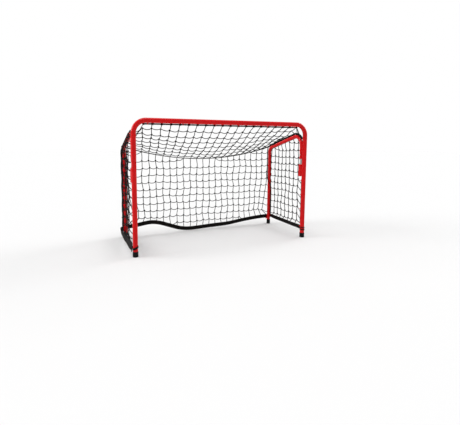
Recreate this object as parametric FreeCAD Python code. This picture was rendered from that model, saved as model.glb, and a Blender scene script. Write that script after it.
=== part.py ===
"""Small folding hockey goal: a bent steel front frame, two hinged side frames and a knotted net.

The origin lies on the floor under the middle of the goal's bounding box.  X runs along the
crossbar, Y from the mouth to the back and Z up.  Pieces are built for the +X side and
mirrored for the other one.  All sizes are millimetres.
"""
import FreeCAD, Part

import math
import os

from FreeCAD import Vector

# Whole goal
WIDTH = 900.0                # outside of one front post to the outside of the other
HEIGHT = 600.0               # floor to the top of the crossbar
LEG_SETBACK = 320.0          # front post axis back to the rear leg axis

# Front frame tube
POST_D = 22.0
POST_WALL = 1.5
FRONT_BEND_R = 55.0          # on the tube's axis

# Side frame tube
SIDE_D = 19.0
SIDE_WALL = 1.2
ARCH_R = 50.0                # bend above the hinge, on the tube's axis
REAR_BEND_R = 30.0           # tight bend at the rear corner
BAR_FALL_DEG = 14.5          # slope of the top bar, down to the rear
ARCH_TOP_Z = 540.0           # highest point of the side frame

# Hinge
SOCKET_D = 25.0
SOCKET_BORE_D = 17.0
SOCKET_LENGTH = 63.0
SOCKET_FLOOR = 5.0
SOCKET_ROUND = 4.0           # rounding of its lower edge
DRAIN_D = 5.0
SOCKET_TOP_Z = 385.0
BUSH_FLANGE = 2.0
SPACER_LENGTH = 26.0
SPACER_WAIST_D = 15.0
SPACER_FLANGE = 5.0
PIN_D = 12.0
PIN_CHAMFER = 1.5
PIN_IN_SOCKET = 52.0
PIN_IN_STUB = 42.0
PLUG_LENGTH = 50.0
RIVET_D = 4.0
RIVET_HEAD_D = 7.0
RIVET_HEAD_T = 1.6
RIVET_RISE = 22.0            # above the stub's lower end
WELD_REACH = 5.5             # half the width of a socket's two weld beads together
WELD_ROOT = 1.4              # free of weld on each side of the line where the tubes touch
WELD_SHORT = 9.0             # the socket is this much longer than its weld

# Foot caps
FOOT_WALL = 1.3
FOOT_SOLE = 3.0
FOOT_FRONT_H = 24.0
FOOT_REAR_H = 27.0
FOOT_ROUND = 1.2
FOOT_GROOVE_D = 1.2          # width of a moulded groove
FOOT_GROOVE_DEPTH = 0.3
FOOT_GROOVES = 3

# Eyelets and pegs that hold the net
EYE_WIRE_D = 3.0
EYE_R = 6.0                  # on the wire's axis
EYE_STANDOFF = 4.0           # tube surface to the middle of the eye
EYE_FIRST = 1                # whole meshes from the goal's middle to the first crossbar eyelet
EYE_EVERY = 4                # one crossbar eyelet in so many meshes
POST_EYES = 4
POST_EYE_LOW_Z = 75.0
POST_EYE_HIGH_Z = 300.0
PEG_D = 5.0
PEG_LENGTH = 7.0
PEG_HEAD_D = 8.0
PEG_HEAD_T = 2.0
PEG_FRONT_Z = 56.0
PEG_REAR_Z = 36.0

# Net and ropes
CORD = 2.5                   # thickness of the netting cord
MESH = 40.0                  # about one mesh, knot to knot
EDGE_ROPE_D = 5.0            # rope under the crossbar and along the posts
BAR_ROPE_D = 9.0             # gathered net on a side frame's top bar
BAR_ROPE_FROM_DEG = 140.0    # its front end on the arch, as an angle from the rear upwards
BAR_ROPE_TO_DEG = 50.0       # its rear end on the rear bend
CORNER_ROPE_D = 6.0
RIDGE_ROPE_D = 6.0
RIDGE_SAG = 70.0             # middle of the rear top edge below its ends
TOP_SAG = 18.0               # middle of the top net below a straight line to the ridge
TOP_EDGE_ACROSS = 6          # points of the top net's surface, from the middle to one side
TOP_EDGE_ALONG = 8

# Webbing hem
HEM_H = 22.0
HEM_T = 1.8
HEM_SIDE_FRONT_Z = 47.0      # height of its middle line beside the front post
HEM_SIDE_REAR_Z = 52.0
HEM_BACK_WAVE = (            # share of the half width, and height of the middle line
    (-1.0, 53.0), (-0.85, 56.0), (-0.65, 66.0), (-0.28, 18.0),
    (0.0, 15.5), (0.33, 21.0), (0.73, 41.0), (1.0, 45.0))
LOOP_H = 12.0
LOOP_LOW_Z = 31.0

# Clearances
SOFT_GAP = 0.3               # round every soft piece
FIT_GAP = 0.05               # running and press fits, on the radius
SWING_GAP = 1.8              # swinging rear leg to the net behind it

PAST = 1.0                   # how far a cutting shape runs past the face that it cuts
SAME = 1e-6                  # heights this close are one height

POST_R = POST_D / 2
SIDE_R = SIDE_D / 2
SOCKET_R = SOCKET_D / 2
PIN_R = PIN_D / 2
EDGE_ROPE_R = EDGE_ROPE_D / 2
BAR_ROPE_R = BAR_ROPE_D / 2
CORNER_ROPE_R = CORNER_ROPE_D / 2
RIDGE_ROPE_R = RIDGE_ROPE_D / 2
EYE_WIRE_R = EYE_WIRE_D / 2
FALL = math.radians(BAR_FALL_DEG)

# Depth positions, with the bounding box centred on Y = 0
BACK_NET_REACH = SIDE_R + SWING_GAP + CORD / 2          # rear leg axis to the back net's middle
FRONT_REACH = POST_R + SOFT_GAP + HEM_T
REAR_REACH = BACK_NET_REACH + CORNER_ROPE_R
POST_Y = FRONT_REACH - (LEG_SETBACK + FRONT_REACH + REAR_REACH) / 2
LEG_Y = POST_Y + LEG_SETBACK
HINGE_Y = POST_Y + POST_R + SOCKET_R
BACK_NET_Y = LEG_Y + BACK_NET_REACH

# Width positions
POST_X = WIDTH / 2 - POST_R
SIDE_NET_X = POST_X + SOCKET_R + SOFT_GAP + CORD / 2    # clear of the sleeve and the rivet
HEM_SIDE_X = POST_X + POST_R + SOFT_GAP                 # inner face of the side hem
TOP_NET_X = POST_X - BAR_ROPE_R - SOFT_GAP
BACK_NET_X = POST_X + SIDE_R - SOFT_GAP
CORNER_ROPE_X = BACK_NET_X + SOFT_GAP + CORNER_ROPE_R

# Heights
BAR_Z = HEIGHT - POST_R
STUB_TOP_Z = ARCH_TOP_Z - SIDE_R - ARCH_R
SPACER_LOW_Z = SOCKET_TOP_Z + BUSH_FLANGE
STUB_LOW_Z = SPACER_LOW_Z + SPACER_LENGTH
SOCKET_LOW_Z = SOCKET_TOP_Z - SOCKET_LENGTH
EYE_SHIFT = (POST_R + EYE_STANDOFF) * math.sin(math.pi / 4)
ROPE_DROP = EYE_R - EYE_WIRE_R - EDGE_ROPE_R - SOFT_GAP
ROPE_Y = POST_Y + EYE_SHIFT
ROPE_Z = BAR_Z - EYE_SHIFT - ROPE_DROP
TOP_NET_FRONT_Y = ROPE_Y + EYE_R + EYE_WIRE_R + SOFT_GAP
TOP_NET_REAR_Y = BACK_NET_Y - RIDGE_ROPE_R - SOFT_GAP

# Side frame bends, as (Y, Z) centres
ARCH_CENTRE = (HINGE_Y + ARCH_R, STUB_TOP_Z)
REAR_CENTRE_Y = LEG_Y - REAR_BEND_R
BAR_RUN = (REAR_CENTRE_Y - ARCH_CENTRE[0] + (REAR_BEND_R - ARCH_R) * math.sin(FALL)) / math.cos(FALL)
REAR_CENTRE = (REAR_CENTRE_Y,
               STUB_TOP_Z + (ARCH_R - REAR_BEND_R) * math.cos(FALL) - BAR_RUN * math.sin(FALL))


def line(a, b):
    """A straight edge."""
    return Part.LineSegment(a, b).toShape()


def cylinder(base, axis, radius, length):
    """A round bar from base along axis."""
    return Part.makeCylinder(radius, length, base, axis)


def block(low, high):
    """A box from its lowest to its highest corner."""
    low, high = Vector(*low), Vector(*high)
    size = high - low
    return Part.makeBox(size.x, size.y, size.z, low)


def swept(path, start, direction, radius):
    """A round bar along a path of straight runs and tangent arcs."""
    section = Part.Wire([Part.makeCircle(radius, start, direction)])
    return Part.Wire(path).makePipeShell([section], True, False)


def mirrored(shape):
    """The same piece for the other side."""
    return shape.mirror(Vector(0, 0, 0), Vector(1, 0, 0))


def arc_about(x, centre, radius, start_deg, end_deg):
    """An arc in a plane of constant X; angles go from +Y towards +Z."""
    def at(degrees):
        a = math.radians(degrees)
        return Vector(x, centre[0] + radius * math.cos(a), centre[1] + radius * math.sin(a))
    return Part.Arc(at(start_deg), at((start_deg + end_deg) / 2), at(end_deg)).toShape()


def end_of(edge):
    """The end point of an edge, in the direction it was drawn."""
    return edge.valueAt(edge.LastParameter)


def start_of(edge):
    """The start point of an edge, in the direction it was drawn."""
    return edge.valueAt(edge.FirstParameter)


def over_the_side(x, offset, start_deg=180.0, end_deg=0.0):
    """Arch, top bar and rear bend of a side frame, moved outwards by offset."""
    slope_deg = 90.0 - BAR_FALL_DEG
    arch = arc_about(x, ARCH_CENTRE, ARCH_R + offset, start_deg, slope_deg)
    rear = arc_about(x, REAR_CENTRE, REAR_BEND_R + offset, slope_deg, end_deg)
    return [arch, line(end_of(arch), start_of(rear)), rear]


# Front frame

def front_frame():
    """One tube bent twice: two posts and the crossbar."""
    def tube(radius):
        low = Vector(-POST_X, POST_Y, FOOT_SOLE)
        x, z, r = POST_X, BAR_Z, FRONT_BEND_R
        mid = r * (1 - math.sin(math.pi / 4))
        points = [Vector(-x, POST_Y, z - r), Vector(-x + r, POST_Y, z),
                  Vector(x - r, POST_Y, z), Vector(x, POST_Y, z - r)]
        corner_left = Vector(-x + mid, POST_Y, z - mid)
        corner_right = Vector(x - mid, POST_Y, z - mid)
        path = [line(low, points[0]),
                Part.Arc(points[0], corner_left, points[1]).toShape(),
                line(points[1], points[2]),
                Part.Arc(points[2], corner_right, points[3]).toShape(),
                line(points[3], Vector(x, POST_Y, FOOT_SOLE))]
        return swept(path, low, Vector(0, 0, 1), radius)
    return tube(POST_R).cut(tube(POST_R - POST_WALL))


def foot_cap(y, tube_r, height):
    """A moulded cap pushed over a tube's end, with a closed flat sole."""
    outer_r = tube_r + FOOT_WALL
    cap = cylinder(Vector(POST_X, y, 0), Vector(0, 0, 1), outer_r, height)
    low_edge = [e for e in cap.Edges if e.BoundBox.ZMax < SAME]
    high_edge = [e for e in cap.Edges if e.BoundBox.ZMin > height - SAME]
    cap = cap.makeFillet(FOOT_ROUND, low_edge + high_edge)
    cap = cap.cut(cylinder(Vector(POST_X, y, FOOT_SOLE), Vector(0, 0, 1), tube_r + FIT_GAP, height))
    pitch = (height - FOOT_SOLE) / (FOOT_GROOVES + 1)
    for i in range(FOOT_GROOVES):
        middle = Vector(POST_X, y, FOOT_SOLE + pitch * (i + 1))
        groove_r = FOOT_GROOVE_D / 2
        cap = cap.cut(Part.makeTorus(outer_r + groove_r - FOOT_GROOVE_DEPTH, groove_r, middle))
    return cap


def hinge_socket():
    """The closed sleeve welded upright to the back of a post."""
    axis = Vector(0, 0, 1)
    low = Vector(POST_X, HINGE_Y, SOCKET_LOW_Z)
    sleeve = cylinder(low, axis, SOCKET_R, SOCKET_LENGTH)
    rim = [e for e in sleeve.Edges if e.BoundBox.ZMax < SOCKET_LOW_Z + SAME]
    sleeve = sleeve.makeFillet(SOCKET_ROUND, rim)
    sleeve = sleeve.cut(cylinder(low + axis * SOCKET_FLOOR, axis, SOCKET_BORE_D / 2, SOCKET_LENGTH))
    return sleeve.cut(cylinder(low - axis * PAST, axis, DRAIN_D / 2, SOCKET_FLOOR + 2 * PAST))


def socket_weld():
    """The two beads that join the sleeve to the post, one each side of where they touch."""
    low_z = SOCKET_LOW_Z + WELD_SHORT / 2
    high_z = SOCKET_TOP_Z - WELD_SHORT / 2
    beads = []
    for side in (-1, 1):
        near, far = sorted((side * WELD_ROOT, side * WELD_REACH))
        bead = block((POST_X + near, POST_Y, low_z), (POST_X + far, HINGE_Y, high_z))
        for y, radius in ((POST_Y, POST_R), (HINGE_Y, SOCKET_R)):
            bead = bead.cut(cylinder(Vector(POST_X, y, 0), Vector(0, 0, 1), radius, HEIGHT))
        beads.append(bead)
    return Part.makeCompound(beads)


def socket_bush():
    """The plastic liner of the sleeve, with the flange that the spacer turns on."""
    axis = Vector(0, 0, 1)
    low = Vector(POST_X, HINGE_Y, SOCKET_LOW_Z + SOCKET_FLOOR)
    body = cylinder(low, axis, SOCKET_BORE_D / 2 - FIT_GAP, SOCKET_LENGTH - SOCKET_FLOOR)
    flange = cylinder(Vector(POST_X, HINGE_Y, SOCKET_TOP_Z), axis, SOCKET_R, BUSH_FLANGE)
    liner = body.fuse(flange).removeSplitter()
    length = SOCKET_LENGTH + BUSH_FLANGE + 2 * PAST
    return liner.cut(cylinder(low - axis * PAST, axis, PIN_R + FIT_GAP, length))


def hinge_spacer():
    """The spool between the sleeve and the side frame, as wide as the side tube."""
    axis = Vector(0, 0, 1)
    low = Vector(POST_X, HINGE_Y, SPACER_LOW_Z)
    spool = cylinder(low, axis, SPACER_WAIST_D / 2, SPACER_LENGTH)
    for z in (0, SPACER_LENGTH - SPACER_FLANGE):
        spool = spool.fuse(cylinder(low + axis * z, axis, SIDE_R, SPACER_FLANGE))
    spool = spool.removeSplitter()
    return spool.cut(cylinder(low - axis * PAST, axis, PIN_R + FIT_GAP, SPACER_LENGTH + 2 * PAST))


def rivet_hole():
    """The cross hole through stub, plug and pin."""
    start = Vector(POST_X - SIDE_D, HINGE_Y, STUB_LOW_Z + RIVET_RISE)
    return cylinder(start, Vector(1, 0, 0), RIVET_D / 2 + FIT_GAP, 2 * SIDE_D)


def hinge_pin():
    """The bare steel pin, fixed in the stub and turning in the spacer and bush."""
    low = Vector(POST_X, HINGE_Y, SOCKET_TOP_Z - PIN_IN_SOCKET)
    length = PIN_IN_SOCKET + BUSH_FLANGE + SPACER_LENGTH + PIN_IN_STUB
    pin = cylinder(low, Vector(0, 0, 1), PIN_R, length)
    pin = pin.makeChamfer(PIN_CHAMFER, [e for e in pin.Edges if e.Curve.TypeId == "Part::GeomCircle"])
    return pin.cut(rivet_hole())


def stub_plug():
    """The insert that centres the pin in the side tube's lower end."""
    low = Vector(POST_X, HINGE_Y, STUB_LOW_Z)
    axis = Vector(0, 0, 1)
    plug = cylinder(low, axis, SIDE_R - SIDE_WALL - FIT_GAP, PLUG_LENGTH)
    plug = plug.cut(cylinder(low, axis, PIN_R + FIT_GAP, PIN_IN_STUB + FIT_GAP))
    return plug.cut(rivet_hole())


def pin_rivet():
    """The rivet across the stub that keeps plug and pin in it."""
    z = STUB_LOW_Z + RIVET_RISE
    along = Vector(1, 0, 0)
    reach = SIDE_R + RIVET_HEAD_T
    start = Vector(POST_X - reach, HINGE_Y, z)
    shank = cylinder(start, along, RIVET_D / 2, 2 * reach)
    tube_side = cylinder(Vector(POST_X, HINGE_Y, STUB_LOW_Z), Vector(0, 0, 1), SIDE_R, PLUG_LENGTH)
    for end in (start, Vector(POST_X, HINGE_Y, z)):
        head = cylinder(end, along, RIVET_HEAD_D / 2, reach)
        shank = shank.fuse(head.cut(tube_side))
    return shank.removeSplitter()


def side_frame():
    """Stub, arch, falling top bar and rear leg, bent from one tube."""
    def tube(radius):
        low = Vector(POST_X, HINGE_Y, STUB_LOW_Z)
        upper = over_the_side(POST_X, 0.0)
        path = [line(low, start_of(upper[0]))] + upper
        path.append(line(end_of(upper[-1]), Vector(POST_X, LEG_Y, FOOT_SOLE)))
        return swept(path, low, Vector(0, 0, 1), radius)
    return tube(SIDE_R).cut(tube(SIDE_R - SIDE_WALL)).cut(rivet_hole())


# Eyelets and pegs

def eyelet(middle, axis, tube_axis_point, tube_axis):
    """A wire ring welded into the back of a tube."""
    ring = Part.makeTorus(EYE_R, EYE_WIRE_R, middle, axis)
    start = tube_axis_point - tube_axis * (2 * EYE_R)
    return ring.cut(cylinder(start, tube_axis, POST_R, 4 * EYE_R))


def mesh_count(length):
    """How many meshes fill a length."""
    return max(2, round(length / MESH))


def crossbar_eyelets():
    """Rings under the back of the crossbar, each in the middle of a mesh."""
    meshes = mesh_count(2 * TOP_NET_X)
    pitch = 2 * TOP_NET_X / meshes
    last = POST_X - FRONT_BEND_R
    half_mesh = pitch / 2 if meshes % 2 == 0 else 0.0
    rings = []
    x = pitch * EYE_FIRST + half_mesh
    while x < last:
        for side in (-1, 1):
            middle = Vector(side * x, POST_Y + EYE_SHIFT, BAR_Z - EYE_SHIFT)
            rings.append(eyelet(middle, Vector(1, 0, 0), Vector(side * x, POST_Y, BAR_Z), Vector(1, 0, 0)))
        x += pitch * EYE_EVERY
    return Part.makeCompound(rings)


def post_eye_heights():
    """Heights of a post's rings."""
    step = (POST_EYE_HIGH_Z - POST_EYE_LOW_Z) / (POST_EYES - 1)
    return [POST_EYE_LOW_Z + step * i for i in range(POST_EYES)]


def post_eyelets():
    """Rings behind a post, below its hinge."""
    up = Vector(0, 0, 1)
    y = POST_Y + POST_R + EYE_STANDOFF
    return Part.makeCompound([
        eyelet(Vector(POST_X, y, z), up, Vector(POST_X, POST_Y, z), up) for z in post_eye_heights()])


def hem_peg(x, y, z, along, tube_r):
    """A headed peg on a tube, which the hem is buttoned over."""
    root = Vector(x, y, z)
    peg = cylinder(root, along, PEG_D / 2, tube_r + PEG_LENGTH)
    peg = peg.fuse(cylinder(root + along * (tube_r + PEG_LENGTH), along, PEG_HEAD_D / 2, PEG_HEAD_T))
    start = Vector(x, y, z - PEG_HEAD_D)
    return peg.removeSplitter().cut(cylinder(start, Vector(0, 0, 1), tube_r, 2 * PEG_HEAD_D))


# Ropes

def crossbar_rope():
    """The rope through the crossbar's rings, which the top net hangs from."""
    half = POST_X - FRONT_BEND_R + POST_R
    return cylinder(Vector(-half, ROPE_Y, ROPE_Z), Vector(1, 0, 0), EDGE_ROPE_R, 2 * half)


def crossbar_ties():
    """Short cord ends from the rope to the top net, one at each of its lengthwise cords."""
    meshes = mesh_count(2 * TOP_NET_X)
    pitch = (2 * TOP_NET_X - CORD) / meshes
    start_y = ROPE_Y + EDGE_ROPE_R + SOFT_GAP
    length = TOP_NET_FRONT_Y - SOFT_GAP - start_y
    rope_half = POST_X - FRONT_BEND_R + POST_R - CORD
    ties = []
    for i in range(meshes + 1):
        x = -TOP_NET_X + CORD / 2 + pitch * i
        if abs(x) < rope_half:
            ties.append(cylinder(Vector(x, start_y, ROPE_Z), Vector(0, 1, 0), CORD / 2, length))
    return Part.makeCompound(ties)


def post_rope():
    """The rope through a post's rings, which the side net is laced to."""
    y = POST_Y + POST_R + EYE_STANDOFF + ROPE_DROP
    low = POST_EYE_LOW_Z - EYE_R
    return cylinder(Vector(POST_X, y, low), Vector(0, 0, 1), EDGE_ROPE_R,
                    POST_EYE_HIGH_Z + EYE_R - low)


def bar_rope():
    """Gathered net and rope lying along the top of a side frame."""
    offset = SIDE_R + SOFT_GAP + BAR_ROPE_R
    path = over_the_side(POST_X, offset, BAR_ROPE_FROM_DEG, BAR_ROPE_TO_DEG)
    start = path[0]
    direction = start.tangentAt(start.FirstParameter)
    return swept(path, start_of(start), direction, BAR_ROPE_R)


def top_edge_z(y):
    """Height of the top net where it lies along a side."""
    above = (SIDE_R + SOFT_GAP + BAR_ROPE_R) / math.cos(FALL)
    bar_start = ARCH_CENTRE[0] + ARCH_R * math.sin(FALL)
    bar_start_z = STUB_TOP_Z + ARCH_R * math.cos(FALL) + above
    if y >= bar_start:
        return bar_start_z - (y - bar_start) * math.tan(FALL)
    share = (y - TOP_NET_FRONT_Y) / (bar_start - TOP_NET_FRONT_Y)
    return ROPE_Z + (bar_start_z - ROPE_Z) * share


RIDGE_END_Z = top_edge_z(BACK_NET_Y)
RIDGE_R = (BACK_NET_X ** 2 + RIDGE_SAG ** 2) / (2 * RIDGE_SAG)


def ridge_z(x):
    """Height of the sagging edge between top and back, a shallow arc."""
    return RIDGE_END_Z - RIDGE_SAG + RIDGE_R - math.sqrt(RIDGE_R ** 2 - x ** 2)


def ridge_rope():
    """The rope along that edge."""
    ends = [Vector(x, BACK_NET_Y, ridge_z(x)) for x in (-BACK_NET_X, 0.0, BACK_NET_X)]
    edge = Part.Arc(*ends).toShape()
    return swept([edge], start_of(edge), edge.tangentAt(edge.FirstParameter), RIDGE_ROPE_R)


def corner_rope():
    """The rope down a rear corner, from the ridge to the hem."""
    low = HEM_SIDE_REAR_Z - HEM_H / 2
    return cylinder(Vector(CORNER_ROPE_X, BACK_NET_Y, low), Vector(0, 0, 1), CORNER_ROPE_R,
                    RIDGE_END_Z - low)


# Nets

def grid_cells(first, last, low, high, place):
    """Boxes for the open meshes of a rectangle that holds the whole panel."""
    across, up = mesh_count(last - first), mesh_count(high - low)
    step, rise = (last - first - CORD) / across, (high - low - CORD) / up
    cells = []
    for i in range(across):
        for k in range(up):
            a, b = first + CORD + step * i, low + CORD + rise * k
            cells.append(place(a, b, a + step - CORD, b + rise - CORD))
    return Part.makeCompound(cells)


def perforated(panel, inner, cells):
    """A panel with its meshes cut out, except for a border cord all round."""
    return panel.cut(inner.common(cells))


def side_net():
    """The net of one side, flat against the outside of its frame."""
    low_x = SIDE_NET_X - CORD / 2
    hem_top = HEM_H / 2 + SOFT_GAP

    def outline(inset, x, depth):
        upper = over_the_side(x, -inset)
        rear_low = Vector(x, LEG_Y - inset, HEM_SIDE_REAR_Z + hem_top + inset)
        front_low = Vector(x, HINGE_Y + inset, HEM_SIDE_FRONT_Z + hem_top + inset)
        edges = upper + [line(end_of(upper[-1]), rear_low), line(rear_low, front_low),
                         line(front_low, start_of(upper[0]))]
        return Part.Face(Part.Wire(edges)).extrude(Vector(depth, 0, 0))

    cells = grid_cells(
        HINGE_Y, LEG_Y, HEM_SIDE_FRONT_Z + hem_top, ARCH_TOP_Z - SIDE_R,
        lambda y0, z0, y1, z1: block((low_x - PAST, y0, z0), (low_x + CORD + PAST, y1, z1)))
    return perforated(outline(0.0, low_x, CORD), outline(CORD, low_x - PAST, CORD + 2 * PAST), cells)


def wave_edge(lift, y, half):
    """The back hem's wavy line as an edge, lifted by so much."""
    curve = Part.BSplineCurve()
    curve.interpolate([Vector(share * half, y, z + lift) for share, z in HEM_BACK_WAVE])
    return curve.toShape()


def back_net():
    """The upright net behind the rear legs, between the ridge and the hem."""
    y = BACK_NET_Y - CORD / 2
    top_gap = RIDGE_ROPE_R + SOFT_GAP
    foot_gap = HEM_H / 2 + SOFT_GAP

    def outline(inset, y, depth):
        half = BACK_NET_X - inset
        top = Part.Arc(*[Vector(x, y, ridge_z(x) - top_gap - inset) for x in (-half, 0.0, half)]).toShape()
        low = wave_edge(foot_gap + inset, y, half)
        edges = [top, line(end_of(low), end_of(top)), low, line(start_of(low), start_of(top))]
        return Part.Face(Part.Wire(Part.__sortEdges__(edges))).extrude(Vector(0, depth, 0))

    lowest = min(z for _, z in HEM_BACK_WAVE)
    cells = grid_cells(
        -BACK_NET_X, BACK_NET_X, lowest, RIDGE_END_Z,
        lambda x0, z0, x1, z1: block((x0, y - PAST, z0), (x1, y + CORD + PAST, z1)))
    return perforated(outline(0.0, y, CORD), outline(CORD, y - PAST, CORD + 2 * PAST), cells)


def top_net():
    """The sagging net from the crossbar's rope to the ridge."""
    span = TOP_NET_REAR_Y - TOP_NET_FRONT_Y
    middle_rear_z = ridge_z(0.0)

    def height(x, y):
        t = (y - TOP_NET_FRONT_Y) / span
        middle = ROPE_Z + (middle_rear_z - ROPE_Z) * t - TOP_SAG * 4 * t * (1 - t)
        rise = (ridge_z(x) - ridge_z(0.0)) / RIDGE_SAG
        return middle + (top_edge_z(y) - middle) * rise

    rows = []
    for k in range(TOP_EDGE_ALONG + 1):
        y = TOP_NET_FRONT_Y + span * k / TOP_EDGE_ALONG
        rows.append([Vector(x, y, height(x, y) - CORD / 2) for x in
                     (TOP_NET_X * i / TOP_EDGE_ACROSS for i in range(-TOP_EDGE_ACROSS, TOP_EDGE_ACROSS + 1))])
    surface = Part.BSplineSurface()
    surface.interpolate(rows)
    sheet = surface.toShape().extrude(Vector(0, 0, CORD))
    cells = grid_cells(
        -TOP_NET_X, TOP_NET_X, TOP_NET_FRONT_Y, TOP_NET_REAR_Y,
        lambda x0, y0, x1, y1: block((x0, y0, 0), (x1, y1, HEIGHT)))
    return sheet.cut(cells)


# Webbing hem

def back_hem():
    """The wavy webbing along the foot of the back net."""
    y = BACK_NET_Y - HEM_T / 2
    top = wave_edge(HEM_H / 2, y, BACK_NET_X)
    low = wave_edge(-HEM_H / 2, y, BACK_NET_X)
    edges = [top, line(end_of(low), end_of(top)), low, line(start_of(low), start_of(top))]
    return Part.Face(Part.Wire(Part.__sortEdges__(edges))).extrude(Vector(0, HEM_T, 0))


def loop_tail_y():
    """Where the loop round a post ends and the side hem starts."""
    return POST_Y + POST_R + SOFT_GAP + HEM_T


def side_hem():
    """The webbing along the foot of a side net, from the post's loop to the rear corner."""
    front = loop_tail_y() + SOFT_GAP
    rear = LEG_Y + SIDE_R - SOFT_GAP
    corners = [Vector(HEM_SIDE_X, y, z + rise * HEM_H / 2) for y, z, rise in (
        (front, HEM_SIDE_FRONT_Z, -1), (rear, HEM_SIDE_REAR_Z, -1),
        (rear, HEM_SIDE_REAR_Z, 1), (front, HEM_SIDE_FRONT_Z, 1))]
    return Part.Face(Part.makePolygon(corners + corners[:1])).extrude(Vector(HEM_T, 0, 0))


def hem_loop():
    """The hem's end, folded into a loop round the front post just above its foot."""
    up = Vector(0, 0, 1)
    base = Vector(POST_X, POST_Y, LOOP_LOW_Z)
    inner = POST_R + SOFT_GAP
    tail = block((POST_X + inner, POST_Y, LOOP_LOW_Z),
                 (POST_X + inner + HEM_T, loop_tail_y(), LOOP_LOW_Z + LOOP_H))
    loop = cylinder(base, up, inner + HEM_T, LOOP_H).fuse(tail)
    return loop.cut(cylinder(base, up, inner, LOOP_H)).removeSplitter()


def both_sides(name, shape):
    """A piece and its mirror image, under their own names."""
    return {name + "_right": shape, name + "_left": mirrored(shape)}


def build():
    """Every node of the goal by name."""
    inward, back = Vector(-1, 0, 0), Vector(0, 1, 0)
    nodes = {
        "front_frame": front_frame(),
        "crossbar_eyelets": crossbar_eyelets(),
        "crossbar_rope": crossbar_rope(),
        "crossbar_ties": crossbar_ties(),
        "ridge_rope": ridge_rope(),
        "net_top": top_net(),
        "net_back": back_net(),
        "hem_back": back_hem(),
    }
    pairs = {
        "foot_front": foot_cap(POST_Y, POST_R, FOOT_FRONT_H),
        "foot_rear": foot_cap(LEG_Y, SIDE_R, FOOT_REAR_H),
        "hinge_socket": hinge_socket(),
        "socket_weld": socket_weld(),
        "socket_bush": socket_bush(),
        "hinge_spacer": hinge_spacer(),
        "hinge_pin": hinge_pin(),
        "stub_plug": stub_plug(),
        "pin_rivet": pin_rivet(),
        "side_frame": side_frame(),
        "post_eyelets": post_eyelets(),
        "post_rope": post_rope(),
        "hem_peg_front": hem_peg(POST_X, POST_Y, PEG_FRONT_Z, back, POST_R),
        "hem_peg_rear": hem_peg(POST_X, LEG_Y, PEG_REAR_Z, inward, SIDE_R),
        "bar_rope": bar_rope(),
        "corner_rope": corner_rope(),
        "net": side_net(),
        "hem_side": side_hem(),
        "hem_loop": hem_loop(),
    }
    for name, shape in pairs.items():
        nodes.update(both_sides(name, shape))
    return nodes


os.makedirs("parts", exist_ok=True)
for node, solid in build().items():
    solid.exportStep(os.path.join("parts", node + ".step"))
    box = solid.BoundBox
    print(node, len(solid.Solids), "valid" if solid.isValid() else "INVALID",
          round(solid.Volume), [round(v, 1) for v in (box.XMin, box.XMax, box.YMin, box.YMax,
                                                      box.ZMin, box.ZMax)])
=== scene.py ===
"""Dresses the folding hockey goal: painted frame, knotted net, laid ropes, lacing and webbing.

Everything is in metres, in the frame's own axes: X along the crossbar, Y from the mouth to the
back, Z up, with the floor at zero.
"""

import logging
import math
import random
from abc import ABC, abstractmethod
from dataclasses import dataclass, field
from enum import Enum
from typing import Callable, Iterable, Sequence

import bpy
import numpy as np
from mathutils import Matrix, Vector
from mathutils.bvhtree import BVHTree

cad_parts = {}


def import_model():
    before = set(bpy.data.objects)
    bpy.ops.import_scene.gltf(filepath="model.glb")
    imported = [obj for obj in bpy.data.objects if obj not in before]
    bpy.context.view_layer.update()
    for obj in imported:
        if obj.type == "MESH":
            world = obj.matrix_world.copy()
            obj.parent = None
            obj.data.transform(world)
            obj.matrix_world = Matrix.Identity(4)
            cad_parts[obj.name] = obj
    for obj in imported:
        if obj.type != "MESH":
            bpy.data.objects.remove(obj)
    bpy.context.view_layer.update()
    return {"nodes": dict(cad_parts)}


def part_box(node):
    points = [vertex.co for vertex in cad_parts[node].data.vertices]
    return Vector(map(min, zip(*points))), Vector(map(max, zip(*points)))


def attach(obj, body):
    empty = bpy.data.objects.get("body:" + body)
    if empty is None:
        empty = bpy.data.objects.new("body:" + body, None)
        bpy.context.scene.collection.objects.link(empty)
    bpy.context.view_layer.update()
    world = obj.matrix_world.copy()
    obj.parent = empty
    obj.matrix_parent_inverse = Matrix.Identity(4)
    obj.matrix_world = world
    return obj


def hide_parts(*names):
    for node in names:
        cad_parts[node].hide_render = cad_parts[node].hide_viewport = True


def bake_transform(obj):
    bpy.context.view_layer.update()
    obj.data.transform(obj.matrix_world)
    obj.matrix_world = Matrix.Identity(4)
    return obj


LOG = logging.getLogger("goal")
UP = Vector((0.0, 0.0, 1.0))
Route = Sequence[Vector]
Colour = tuple[float, float, float]


class Side(Enum):
    """The two sides of the goal, as seen from the mouth."""

    LEFT = -1
    RIGHT = 1

    @property
    def word(self) -> str:
        """The side's name in lower case."""
        return self.name.lower()

    @property
    def body(self) -> str:
        """The moving body of this side."""
        return f"{self.word}_side_frame"


class Body(Enum):
    """Bodies that don't depend on a side."""

    FRONT = "front_frame"


class Slot(Enum):
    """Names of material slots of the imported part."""

    CORD = "net_cord"
    WEBBING = "webbing"


# Placing and shaping helpers


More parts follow.
